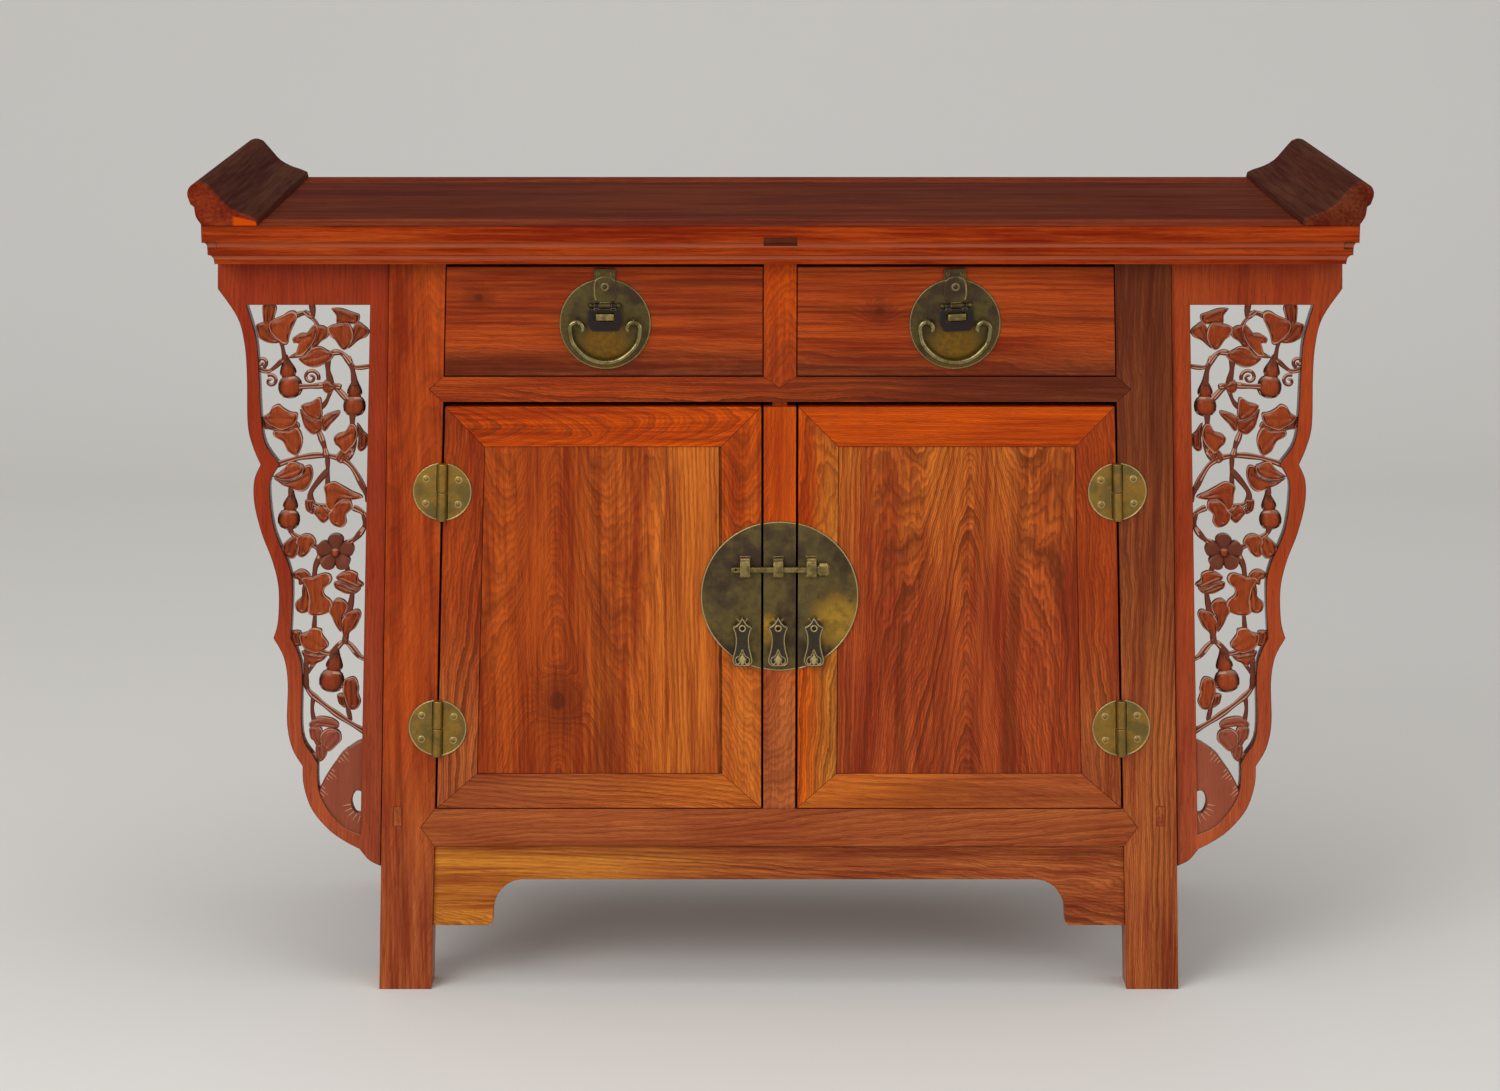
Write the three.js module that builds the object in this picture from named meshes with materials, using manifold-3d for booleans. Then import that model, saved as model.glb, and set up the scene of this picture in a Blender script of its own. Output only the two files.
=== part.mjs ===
// Altar cabinet of northern Chinese form: a framed top with everted flanges on four splayed legs,
// two drawers over a pair of doors, long openwork spandrels under the overhanging top, brass fittings.
// Millimetres. X runs to the viewer's right, Y to the back, Z up. The origin is on the floor, in the
// middle of the top's plan.

import * as THREE from "three";
import { mergeVertices } from "three/addons/utils/BufferGeometryUtils.js";
import Module from "manifold-3d";

const wasm = await Module();
wasm.setup();

// Working values
const FIT = 0.3; // clearance between pieces that meet
const OVERRUN = 4; // how far a cutter runs past the wood that it cuts
const ROUND_STEPS = 32; // facets in the outline of a disc
const WIRE_SIDES = 8;
const CURVE_STEPS = 2; // points for each named point of a drawn curve
const MOULDING_STEPS = 3; // facets in each hollow of the moulding
const HALF_TURN = Math.PI;
const QUARTER_TURN = HALF_TURN / 2;
const SAME_POINT = 0.01; // points closer than this are one

// Top
const TOP_LENGTH = 1222;
const TOP_DEPTH = 450;
const TOP_HEIGHT = 860;
const TOP_THICKNESS = 42;
const TOP_FRAME_WIDTH = 59;
const TOP_PANEL_THICKNESS = 11.5;
const TOP_TONGUE_THICKNESS = 5.5;
const TOP_TONGUE_LENGTH = 8;
const TOP_SEAM = 0.4;
const MITRE_GAP = 0.45;
const FRONT_OVERHANG = 35;
const BACK_OVERHANG = 15;

// Moulding on the top's edge, from its upper arris down
const FASCIA_HEIGHT = 18;
const QUIRK_DEPTH = 1.2;
const COVE_DEPTH = 4;
const COVE_HEIGHT = 5.5;
const BAND_HEIGHT = 8;
const OGEE_DEPTH = 6;
const OGEE_HEIGHT = 8.5;

// Everted flange, worked from the same piece as the end member of the top's frame
const FLANGE_RISE = 45.5;
const FLANGE_REACH = 13.5; // past the end of the top
const CORNER_TENON_WIDTH = 10;
const CORNER_TENON_HEIGHT = 8.5;
const CORNER_TENON_INSET = 5;

// Cross batten under the top's board
const BATTEN_WIDTH = 44;
const BATTEN_HEIGHT = 24;
const BATTEN_TENON_WIDTH = 35;
const BATTEN_TENON_HEIGHT = 9;

// Legs
const END_OVERHANG = 194.4; // of the top past the legs at their heads
const LEG_SPLAY = 29.4; // from head to foot
const LEG_TOP_WIDTH = 60;
const LEG_FOOT_WIDTH = 58;
const LEG_DEPTH = 44;
const LEG_TENON_WIDTH = 36;
const LEG_TENON_DEPTH = 16;
const LEG_TENON_LENGTH = 20;
const LEG_TENON_SETBACK = 4;

// Front and back rails
const RAIL_DEPTH = 28;
const DRAWER_ROOM = 125.4; // between the waist rail and the top
const WAIST_RAIL_HEIGHT = 27.2;
const BASE_RAIL_BOTTOM = 166.7;
const BASE_RAIL_HEIGHT = 42.6;
const SHOULDER_REACH = 15; // length of the pointed shoulder
const SHOULDER_DEPTH = 10; // its thickness from the front
const TENON_LENGTH = 28;
const TENON_THICKNESS = 9;
const TENON_SETBACK = 14; // from the rail's front to its tenon
const TENON_SHOULDER = 4.5; // step above and below the tenon
const HOUSING = 6; // depth of the grooves for boards

// Posts
const POST_WIDTH = 35;
const POST_POINT = 12;
const POST_TENON_WIDTH = 16;
const POST_TENON_LENGTH = 10;
const POST_TENON_SETBACK = 11.5;
const DOOR_POST_DEPTH = 24;
const DOOR_POST_TOP_TENON = 9; // deep enough to lift the foot clear of the base rail
const DOOR_POST_FOOT_TENON = 4;
const DOOR_POST_MORTISE = 11;

// Side rails and panels, set in from the outer face of the legs
const SIDE_RAIL_RISE = 13.3; // above the underside of the base rail
const SIDE_RAIL_HEIGHT = 42;
const SIDE_RAIL_INSET = 8;
const SIDE_RAIL_THICKNESS = 28;
const SIDE_TENON_INSET = 13;
const SIDE_TENON_HEIGHT = 22;
const SIDE_PANEL_INSET = 13;
const SIDE_PANEL_THICKNESS = 9;
const PANEL_HOUSING = 8;
const BACK_PANEL_THICKNESS = 8;
const BACK_PANEL_SETBACK = 12;

// Boards inside
const FLOOR_THICKNESS = 12;
const FLOOR_DROP = 1.5; // below the top of the base rail
const DECK_THICKNESS = 12;
const GUIDE_HEIGHT = 15;
const LEG_NOTCH_PLAY = 1;

// Apron between the feet
const APRON_RECESS = 4;
const APRON_THICKNESS = 16;
const APRON_HEIGHT = 93;
const APRON_RISE = 53.3; // from its feet to the underside of the long middle stretch
const APRON_FOOT_LENGTH = 62;
const APRON_BRACKET_LENGTH = 38;
const APRON_TONGUE_THICKNESS = 8;

// Doors
const DOOR_THICKNESS = 24;
const DOOR_GAP = 2.5;
const DOOR_TOP_GAP = 5.4;
const DOOR_BOTTOM_GAP = 1.4;
const STILE_WIDTH = 43;
const DOOR_TOP_RAIL_HEIGHT = 43.5;
const DOOR_BOTTOM_RAIL_HEIGHT = 39;
const DOOR_PANEL_RECESS = 1.2;
const DOOR_PANEL_THICKNESS = 10;
const DOOR_TONGUE_THICKNESS = 5;
const DOOR_TONGUE_LENGTH = 8;
const DOOR_TONGUE_SETBACK = 6;
const DOOR_TENON_LENGTH = 20;
const DOOR_TENON_THICKNESS = 7;
const DOOR_TENON_HEIGHT = 16;

// Drawers
const DRAWER_GAP = 1.2;
const DRAWER_TOP_GAP = 6.3;
const DRAWER_FOOT_GAP = 1.6;
const DRAWER_FRONT_THICKNESS = 20;
const DRAWER_WALL = 10;
const DRAWER_BOTTOM = 6;
const DRAWER_BOX_HEIGHT = 98;
const DRAWER_BOX_LENGTH = 322;
const DRAWER_SIDE_HOUSING = 7;
const DRAWER_RUNNING_PLAY = 1.2;
const DRAWER_LIFT_PLAY = 0.4;

// Openwork spandrels
const SPANDREL_SETBACK = 10.4; // from the end of the top
const SPANDREL_HEIGHT = 676;
const SPANDREL_THICKNESS = 18;
const SPANDREL_RECESS = 5;
const SPANDREL_TONGUE_THICKNESS = 9;
const SPANDREL_TONGUE_LENGTH = 6;
const SPANDREL_TONGUE_OVERLAP = 4;
const SPANDREL_TONGUE_RISE = 23; // from the spandrel's foot to its tongue
const VINE_RADIUS = 2.7;
const VINE_SIDES = 4;
const TENDRIL_RADIUS = 2.1;
const LEAF_THICKNESS = 12;
const FLOWER_THICKNESS = 14;
const LEAF_LOBES = 5;
const GOURD_HEIGHT = 47;
const GOURD_RADIUS = 13.5;
const GOURD_STEPS = 6;
const BALL_STEPS = 6;

// Brass
const PLATE_THICKNESS = 1.5;
const HINGE_RADIUS = 32;
const HINGE_BARREL_RADIUS = 5;
const HINGE_PIN_RADIUS = 2;
const HINGE_PIN_PLAY = 0.35;
const HINGE_TOP_DROP = 93; // from the door's top to the middle of the upper hinge
const HINGE_FOOT_RISE = 91.8; // from the door's foot to the middle of the lower hinge
const HINGE_TAB_LAP = 1;
const HINGE_STEPS = 10;
const LOCK_RADIUS = 83.5;
const LOCK_RISE = 240; // from the doors' foot to the middle of the lock plate
const LOCK_SHIFT = -1.5; // the fittings on the lock plate sit a little left of its middle
const STAPLE_SPACING = 36;
const STAPLE_WIDTH = 10.4;
const STAPLE_HEIGHT = 22;
const STAPLE_REACH = 11;
const STAPLE_WALL = 2;
const STAPLE_SILL = 5;
const BAR_THICKNESS = 5.6;
const BAR_RISE = 31.2; // above the middle of the lock plate
const BAR_PLAY = 0.6;
const BAR_TAIL = 15.5; // past the middle of the left staple
const BAR_HEAD_GAP = 1;
const BAR_HEAD_WIDTH = 14;
const BAR_HEAD_HEIGHT = 15;
const BAR_HEAD_DEPTH = 9;
const BAR_EYE_RADIUS = 1.3;
const PENDANT_SPACING = 39;
const PENDANT_WIDTH = 23.6;
const PENDANT_HEIGHT = 56;
const PENDANT_THICKNESS = 2;
const PENDANT_FALL = 20.7; // from the middle of the lock plate to the pendants' tips
const PENDANT_PIVOT_DROP = 5.5; // from the tip to the pivot
const PENDANT_EYE_DROP = 13;
const PENDANT_EYE_RADIUS = 2.1;
const PENDANT_KNUCKLE_RADIUS = 2.6;
const PENDANT_KNUCKLE_LENGTH = 6;
const PENDANT_WIRE_RADIUS = 1;
const PENDANT_WIRE_PLAY = 0.4;
const PENDANT_WIRE_REACH = 5;
const PENDANT_WIRE_WIDTH = 11;
const DRAWER_PLATE_RADIUS = 49;
const DRAWER_PLATE_DROP = 5;
const BAIL_SPREAD = 61; // between its two eyes
const BAIL_RADIUS = 2.2;
const BAIL_CURL = 7;
const BAIL_DROP = 44;
const BAIL_OFFSET = 6.6; // from the plate to the wire
const BAIL_EYE_WALL = 1.7;
const BAIL_EYE_PLAY = 0.7;
const BAIL_EYE_WIDTH = 2.6;
const BAIL_EYE_RISE = 3; // eyes above the middle of the plate
const BAIL_STEPS = 28;
const BAIL_SIDES = 6;
const STRAP_WIDTH = 24;
const STRAP_TOP_DROP = 1.5; // below the drawer's top edge
const STRAP_LENGTH = 39.5;
const STRAP_THICKNESS = 2.5;
const STRAP_LAP = 1;
const STRAP_TILT_LEFT = 0;
const STRAP_TILT_RIGHT = -3; // degrees, as this one hangs in the photograph
const HASP_WIDTH = 37;
const HASP_LENGTH = 28;
const HASP_THICKNESS = 2;
const HASP_KNUCKLE_RADIUS = 2.8;
const HASP_PIN_RADIUS = 1.3;
const HASP_PIN_PLAY = 0.35;
const HASP_AXIS_OFFSET = 3.3;
const HASP_BALL_RADIUS = 3;
const HASP_BALL_SPREAD = 30;
const HASP_KNUCKLE_OUTER = 11.5;
const HASP_KNUCKLE_INNER = 6.3;
const CATCH_WIDTH = 19;
const CATCH_HEIGHT = 6.8;
const CATCH_REACH = 9.5;
const CATCH_DROP = 8.5; // from the hinge pin to the top of the catch
const CATCH_WALL = 1.8;
const HASP_SLOT_PLAY = 1.7;

// Worked out from the sizes above
const HALF_LENGTH = TOP_LENGTH / 2;
const HALF_DEPTH = TOP_DEPTH / 2;
const CARCASS_HEIGHT = TOP_HEIGHT - TOP_THICKNESS;
const LEG_TOP_OUTER = HALF_LENGTH - END_OVERHANG;
const LEG_TOP_INNER = LEG_TOP_OUTER - LEG_TOP_WIDTH;
const LEG_FOOT_OUTER = LEG_TOP_OUTER + LEG_SPLAY;
const LEG_FOOT_INNER = LEG_FOOT_OUTER - LEG_FOOT_WIDTH;
const END_INNER = HALF_LENGTH - TOP_FRAME_WIDTH;
const RAIL_INNER = HALF_DEPTH - TOP_FRAME_WIDTH;
const PANEL_UNDERSIDE = TOP_HEIGHT - TOP_PANEL_THICKNESS;
const FACE = FRONT_OVERHANG - HALF_DEPTH; // front of the carcass
const REAR = HALF_DEPTH - BACK_OVERHANG; // back of the carcass
const FRONT_LEG_BACK = FACE + LEG_DEPTH;
const BACK_LEG_FRONT = REAR - LEG_DEPTH;
const RAIL_BACK = FACE + RAIL_DEPTH;
const WAIST_RAIL_TOP = CARCASS_HEIGHT - DRAWER_ROOM;
const WAIST_RAIL_BOTTOM = WAIST_RAIL_TOP - WAIST_RAIL_HEIGHT;
const BASE_RAIL_TOP = BASE_RAIL_BOTTOM + BASE_RAIL_HEIGHT;
const SIDE_RAIL_BOTTOM = BASE_RAIL_BOTTOM + SIDE_RAIL_RISE;
const SIDE_RAIL_TOP = SIDE_RAIL_BOTTOM + SIDE_RAIL_HEIGHT;
const SIDE_TENON_BOTTOM = SIDE_RAIL_BOTTOM + (SIDE_RAIL_HEIGHT - SIDE_TENON_HEIGHT) / 2;
const BACK_PANEL_BACK = REAR - BACK_PANEL_SETBACK;
const BACK_PANEL_FRONT = BACK_PANEL_BACK - BACK_PANEL_THICKNESS;
const FLOOR_TOP = BASE_RAIL_TOP - FLOOR_DROP;
const HALF_POST = POST_WIDTH / 2;
const DOOR_TOP = WAIST_RAIL_BOTTOM - DOOR_TOP_GAP;
const DOOR_BOTTOM = BASE_RAIL_TOP + DOOR_BOTTOM_GAP;
const PLATE_FRONT = FACE - PLATE_THICKNESS;
const LOCK_HEIGHT = DOOR_BOTTOM + LOCK_RISE;
const BAR_HEIGHT = LOCK_HEIGHT + BAR_RISE;
const PENDANT_TOP = LOCK_HEIGHT - PENDANT_FALL;
const STAPLE_BOTTOM = BAR_HEIGHT - BAR_THICKNESS / 2 - BAR_PLAY - STAPLE_SILL;
const APRON_BOTTOM = BASE_RAIL_BOTTOM - APRON_HEIGHT;
const SPANDREL_WIDTH = END_OVERHANG - SPANDREL_SETBACK;
const SPANDREL_FRONT = FACE + SPANDREL_RECESS;
const SPANDREL_BACK = SPANDREL_FRONT + SPANDREL_THICKNESS;
const SPANDREL_MIDDLE = (SPANDREL_FRONT + SPANDREL_BACK) / 2;
const SPANDREL_TOP = CARCASS_HEIGHT - FIT;
const SPANDREL_BOTTOM = SPANDREL_TOP - SPANDREL_HEIGHT;
const DRAWER_BOTTOM_EDGE = WAIST_RAIL_TOP + DRAWER_FOOT_GAP;
const DRAWER_TOP_EDGE = CARCASS_HEIGHT - DRAWER_TOP_GAP;
const DRAWER_MIDDLE = (HALF_POST + legInner(DRAWER_TOP_EDGE)) / 2;
const DRAWER_PLATE_HEIGHT = (DRAWER_BOTTOM_EDGE + DRAWER_TOP_EDGE) / 2 - DRAWER_PLATE_DROP / 2;
const HINGE_LEAN = Math.atan((LEG_FOOT_INNER - LEG_TOP_INNER) / CARCASS_HEIGHT);

// Turn of a drawing into a solid: a front view is drawn in X and Z, an end view in Y and Z
const FRONT_VIEW = new THREE.Matrix4().makeBasis(
  new THREE.Vector3(1, 0, 0),
  new THREE.Vector3(0, 0, 1),
  new THREE.Vector3(0, -1, 0),
);
const END_VIEW = new THREE.Matrix4().makeBasis(
  new THREE.Vector3(0, 1, 0),
  new THREE.Vector3(0, 0, 1),
  new THREE.Vector3(1, 0, 0),
);

const model = new THREE.Group();

// Materials

function redHardwood() {
  return new THREE.MeshStandardMaterial({ color: 0xb4491c, roughness: 0.34, metalness: 0 });
}

function darkHardwood() {
  return new THREE.MeshStandardMaterial({ color: 0x7a3a26, roughness: 0.36, metalness: 0 });
}

function figuredHardwood() {
  return new THREE.MeshStandardMaterial({ color: 0xb8622a, roughness: 0.38, metalness: 0 });
}

function carvedHardwood() {
  return new THREE.MeshStandardMaterial({ color: 0xa8482c, roughness: 0.32, metalness: 0 });
}

function plainInnerWood() {
  return new THREE.MeshStandardMaterial({ color: 0xb98a5a, roughness: 0.7, metalness: 0 });
}

function agedBrass() {
  return new THREE.MeshStandardMaterial({ color: 0x75683a, roughness: 0.42, metalness: 0.9 });
}

function wornBrass() {
  return new THREE.MeshStandardMaterial({ color: 0x9a8a52, roughness: 0.36, metalness: 0.9 });
}

// Solids

function solidOf(geometry) {
  const bare = new THREE.BufferGeometry();
  bare.setAttribute("position", geometry.getAttribute("position").clone());
  if (geometry.index) bare.setIndex(geometry.index.clone());
  const merged = mergeVertices(bare);
  const vertProperties = Float32Array.from(merged.getAttribute("position").array);
  const triVerts = Uint32Array.from(merged.index.array);
  return new wasm.Manifold(new wasm.Mesh({ numProp: 3, vertProperties, triVerts }));
}

function geometryOf(solid) {
  const { vertProperties, triVerts } = solid.getMesh();
  const geometry = new THREE.BufferGeometry();
  geometry.setAttribute("position", new THREE.BufferAttribute(vertProperties, 3));
  geometry.setIndex(new THREE.BufferAttribute(triVerts, 1));
  geometry.computeVertexNormals();
  return geometry;
}

function joined(solids) {
  return solids.reduce((whole, next) => whole.add(next));
}

function cutFrom(solid, cutters) {
  return cutters.reduce((left, cutter) => left.subtract(cutter), solid);
}

function addPiece(name, solid, material) {
  const mesh = new THREE.Mesh(geometryOf(solid), material);
  mesh.name = name;
  model.add(mesh);
  return mesh;
}

function block(xA, xB, yA, yB, zA, zB, grow = 0) {
  const geometry = new THREE.BoxGeometry(
    Math.abs(xB - xA) + 2 * grow,
    Math.abs(yB - yA) + 2 * grow,
    Math.abs(zB - zA) + 2 * grow,
  );
  geometry.translate((xA + xB) / 2, (yA + yB) / 2, (zA + zB) / 2);
  return solidOf(geometry);
}

// The points of a drawn curve, without those that fall on the one before
function distinct(points) {
  return points.filter((point, i) => {
    const before = points[(i + points.length - 1) % points.length];
    return point.distanceTo(before) > SAME_POINT;
  });
}

function wound(points, clockwise) {
  return THREE.ShapeUtils.isClockWise(points) === clockwise ? points : points.reverse();
}

function shapeOf(outline) {
  if (Array.isArray(outline)) {
    return new THREE.Shape(outline.map(([a, b]) => new THREE.Vector2(a, b)));
  }
  const { shape, holes } = outline.extractPoints(CURVE_STEPS);
  const plain = new THREE.Shape(wound(distinct(shape), false));
  plain.holes = holes.map((hole) => new THREE.Path(wound(distinct(hole), true)));
  return plain;
}

function extruded(outline, depth) {
  return new THREE.ExtrudeGeometry(shapeOf(outline), { depth, bevelEnabled: false });
}

function frontPrism(outline, yFront, yBack) {
  const geometry = extruded(outline, yBack - yFront);
  geometry.applyMatrix4(FRONT_VIEW);
  geometry.translate(0, yBack, 0);
  return solidOf(geometry);
}

function endPrism(outline, xLeft, xRight) {
  const geometry = extruded(outline, xRight - xLeft);
  geometry.applyMatrix4(END_VIEW);
  geometry.translate(xLeft, 0, 0);
  return solidOf(geometry);
}

function planPrism(outline, zLow, zHigh) {
  const geometry = extruded(outline, zHigh - zLow);
  geometry.translate(0, 0, zLow);
  return solidOf(geometry);
}

// A round bar along X, Y or Z
function rod(axis, radius, from, to, centre, steps = ROUND_STEPS / 2) {
  const geometry = new THREE.CylinderGeometry(radius, radius, to - from, steps);
  if (axis === "x") geometry.rotateZ(-QUARTER_TURN);
  if (axis === "z") geometry.rotateX(QUARTER_TURN);
  const middle = (from + to) / 2;
  const place = { x: [middle, ...centre], y: [centre[0], middle, centre[1]], z: [...centre, middle] }[axis];
  geometry.translate(...place);
  return solidOf(geometry);
}

function ball(radius, centre, steps = BALL_STEPS) {
  const geometry = new THREE.SphereGeometry(radius, steps, Math.round(steps / 2) + 1);
  geometry.translate(...centre);
  return solidOf(geometry);
}

function circleSection(radius, sides) {
  const section = new THREE.Shape();
  for (let i = 0; i < sides; i += 1) {
    const angle = (2 * HALF_TURN * i) / sides;
    const x = radius * Math.cos(angle);
    const y = radius * Math.sin(angle);
    if (i === 0) section.moveTo(x, y);
    else section.lineTo(x, y);
  }
  return section;
}

function wire(curve, radius, sides, steps) {
  const settings = { extrudePath: curve, steps, bevelEnabled: false };
  return solidOf(new THREE.ExtrudeGeometry(circleSection(radius, sides), settings));
}

// Each edge of a convex outline moved inward by its own amount, in the order of the points
function insetOutline(points, insets) {
  const area = points.reduce((sum, [x, z], i) => {
    const [nextX, nextZ] = points[(i + 1) % points.length];
    return sum + x * nextZ - nextX * z;
  }, 0);
  const turn = Math.sign(area);
  const lines = points.map(([x, z], i) => {
    const [nextX, nextZ] = points[(i + 1) % points.length];
    const length = Math.hypot(nextX - x, nextZ - z);
    const normal = [(-turn * (nextZ - z)) / length, (turn * (nextX - x)) / length];
    return { normal, distance: normal[0] * x + normal[1] * z + insets[i] };
  });
  return points.map((_, i) => {
    const a = lines[(i + points.length - 1) % points.length];
    const b = lines[i];
    const cross = a.normal[0] * b.normal[1] - a.normal[1] * b.normal[0];
    const x = (a.distance * b.normal[1] - b.distance * a.normal[1]) / cross;
    const z = (b.distance * a.normal[0] - a.distance * b.normal[0]) / cross;
    return [x, z];
  });
}

// Splayed lines

function legOuter(z) {
  return LEG_FOOT_OUTER + ((LEG_TOP_OUTER - LEG_FOOT_OUTER) * z) / CARCASS_HEIGHT;
}

function legInner(z) {
  return LEG_FOOT_INNER + ((LEG_TOP_INNER - LEG_FOOT_INNER) * z) / CARCASS_HEIGHT;
}

// A block that leans with the leg, its two faces set in from the leg's outer face
function leaningBlock(side, insetOuter, insetInner, yFront, yBack, zLow, zHigh, grow = 0) {
  const low = zLow - grow;
  const high = zHigh + grow;
  const outline = [
    [side * (legOuter(low) - insetOuter + grow), low],
    [side * (legOuter(high) - insetOuter + grow), high],
    [side * (legOuter(high) - insetInner - grow), high],
    [side * (legOuter(low) - insetInner - grow), low],
  ];
  return frontPrism(outline, yFront - grow, yBack + grow);
}

// Top

// Inset from the edge and drop from the top, down the moulding
function mouldingProfile() {
  const profile = [[0, 0], [0, FASCIA_HEIGHT]];
  for (let i = 0; i <= MOULDING_STEPS; i += 1) {
    const angle = (QUARTER_TURN * i) / MOULDING_STEPS;
    profile.push([
      QUIRK_DEPTH + COVE_DEPTH * Math.sin(angle),
      FASCIA_HEIGHT + COVE_HEIGHT * (1 - Math.cos(angle)),
    ]);
  }
  const bandEnd = FASCIA_HEIGHT + COVE_HEIGHT + BAND_HEIGHT;
  for (let i = 0; i <= MOULDING_STEPS; i += 1) {
    const angle = (QUARTER_TURN * i) / MOULDING_STEPS;
    profile.push([
      QUIRK_DEPTH + COVE_DEPTH + OGEE_DEPTH * Math.sin(angle),
      bandEnd + OGEE_HEIGHT * (1 - Math.cos(angle)),
    ]);
  }
  profile.push([QUIRK_DEPTH + COVE_DEPTH + OGEE_DEPTH, TOP_THICKNESS]);
  return profile;
}

function topRailBlank(side) {
  const outline = mouldingProfile().map(([inset, drop]) => [side * (HALF_DEPTH - inset), TOP_HEIGHT - drop]);
  outline.push([side * RAIL_INNER, CARCASS_HEIGHT]);
  outline.push([side * RAIL_INNER, TOP_HEIGHT]);
  return endPrism(outline, -HALF_LENGTH, HALF_LENGTH);
}

function topTongue(grow) {
  const reachX = END_INNER + TOP_TONGUE_LENGTH;
  const reachY = RAIL_INNER + TOP_TONGUE_LENGTH;
  const top = PANEL_UNDERSIDE + TOP_TONGUE_THICKNESS;
  return block(-reachX, reachX, -reachY, reachY, PANEL_UNDERSIDE, top, grow);
}

function battenTenon(grow) {
  const half = BATTEN_TENON_WIDTH / 2;
  const top = PANEL_UNDERSIDE - 2 * FIT - TOP_SEAM;
  return block(-half, half, -HALF_DEPTH, HALF_DEPTH, top - BATTEN_TENON_HEIGHT, top, grow);
}

function cornerTenon(sideX, sideY, grow) {
  const outer = HALF_LENGTH - CORNER_TENON_INSET;
  const inner = outer - CORNER_TENON_WIDTH;
  const top = TOP_HEIGHT - FASCIA_HEIGHT + QUIRK_DEPTH;
  const back = RAIL_INNER + TOP_FRAME_WIDTH / 2;
  return block(sideX * inner, sideX * outer, sideY * back, sideY * HALF_DEPTH,
    top - CORNER_TENON_HEIGHT, top, grow);
}

function legTenon(sideX, row, grow) {
  const middle = (LEG_TOP_OUTER + LEG_TOP_INNER) / 2;
  const front = row === "front" ? FACE + LEG_TENON_SETBACK : REAR - LEG_TENON_SETBACK - LEG_TENON_DEPTH;
  return block(
    sideX * (middle - LEG_TENON_WIDTH / 2), sideX * (middle + LEG_TENON_WIDTH / 2),
    front, front + LEG_TENON_DEPTH,
    CARCASS_HEIGHT - OVERRUN, CARCASS_HEIGHT + LEG_TENON_LENGTH, grow,
  );
}

function topRail(sideY) {
  const far = HALF_LENGTH + OVERRUN;
  const cutters = [topTongue(FIT), battenTenon(FIT)];
  for (const sideX of [-1, 1]) {
    const endTerritory = [
      [sideX * END_INNER, sideY * (RAIL_INNER + MITRE_GAP)],
      [sideX * far, sideY * (RAIL_INNER + MITRE_GAP + far - END_INNER)],
      [sideX * far, 0],
      [sideX * END_INNER, 0],
    ];
    cutters.push(planPrism(endTerritory, CARCASS_HEIGHT - OVERRUN, TOP_HEIGHT + OVERRUN));
    cutters.push(cornerTenon(sideX, sideY, FIT));
    cutters.push(legTenon(sideX, sideY < 0 ? "front" : "back", FIT));
  }
  if (sideY < 0) cutters.push(postTopTenon(FIT));
  return cutFrom(topRailBlank(sideY), cutters);
}

// Shares of the flange's full width and of its rise, up its inner face and down the nose
const flangeFaceShares = [[0.02, 0.13], [0.13, 0.21], [0.28, 0.29], [0.46, 0.46], [0.6, 0.72], [0.72, 0.94]];
const flangeNoseShares = [[0.83, 1], [0.95, 0.93], [1, 0.74], [0.955, 0.5]];
const flangeNeckShares = [[0.905, 0.44], [0.885, 0.22], [0.815, 0.04]];

function topEndBlank(side) {
  const width = TOP_FRAME_WIDTH + FLANGE_REACH;
  const place = ([across, up]) => new THREE.Vector2(
    side * (END_INNER + width * across),
    TOP_HEIGHT + FLANGE_RISE * up,
  );
  const shape = new THREE.Shape();
  shape.moveTo(side * END_INNER, CARCASS_HEIGHT);
  shape.lineTo(side * END_INNER, TOP_HEIGHT);
  shape.lineTo(...place(flangeFaceShares[0]).toArray());
  shape.splineThru(flangeFaceShares.slice(1).map(place));
  shape.splineThru(flangeNoseShares.map(place));
  shape.lineTo(...place(flangeNeckShares[0]).toArray());
  shape.splineThru(flangeNeckShares.slice(1).map(place));
  for (const [inset, drop] of mouldingProfile()) {
    shape.lineTo(side * (HALF_LENGTH - inset), TOP_HEIGHT - drop);
  }
  shape.closePath();
  return frontPrism(shape, -HALF_DEPTH, HALF_DEPTH);
}

function topEnd(side) {
  const near = END_INNER - OVERRUN;
  const far = HALF_LENGTH + OVERRUN;
  const cutters = [topTongue(FIT)];
  const tenons = [];
  for (const sideY of [-1, 1]) {
    const railTerritory = [
      [side * near, sideY * (RAIL_INNER - OVERRUN)],
      [side * far, sideY * (HALF_DEPTH + OVERRUN)],
      [side * far, sideY * (HALF_DEPTH + 2 * OVERRUN)],
      [side * near, sideY * (HALF_DEPTH + 2 * OVERRUN)],
    ];
    cutters.push(planPrism(railTerritory, CARCASS_HEIGHT - OVERRUN, TOP_HEIGHT + FIT));
    tenons.push(cornerTenon(side, sideY, 0).intersect(topRailBlank(sideY)));
  }
  return joined([cutFrom(topEndBlank(side), cutters), ...tenons]);
}

function topPanel() {
  const halfX = END_INNER - TOP_SEAM;
  const halfY = RAIL_INNER - TOP_SEAM;
  return block(-halfX, halfX, -halfY, halfY, PANEL_UNDERSIDE, TOP_HEIGHT).add(topTongue(0));
}

function topBatten() {
  const half = BATTEN_WIDTH / 2;
  const top = PANEL_UNDERSIDE - FIT;
  const bar = block(-half, half, FIT - RAIL_INNER, RAIL_INNER - FIT, top - BATTEN_HEIGHT, top);
  const ends = joined([topRailBlank(-1), topRailBlank(1)]).intersect(battenTenon(0));
  const middle = battenTenon(0).intersect(block(-half, half, -RAIL_INNER - FIT, RAIL_INNER + FIT, 0, top));
  return joined([bar, middle, ends]);
}

// Legs and their joints

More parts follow.
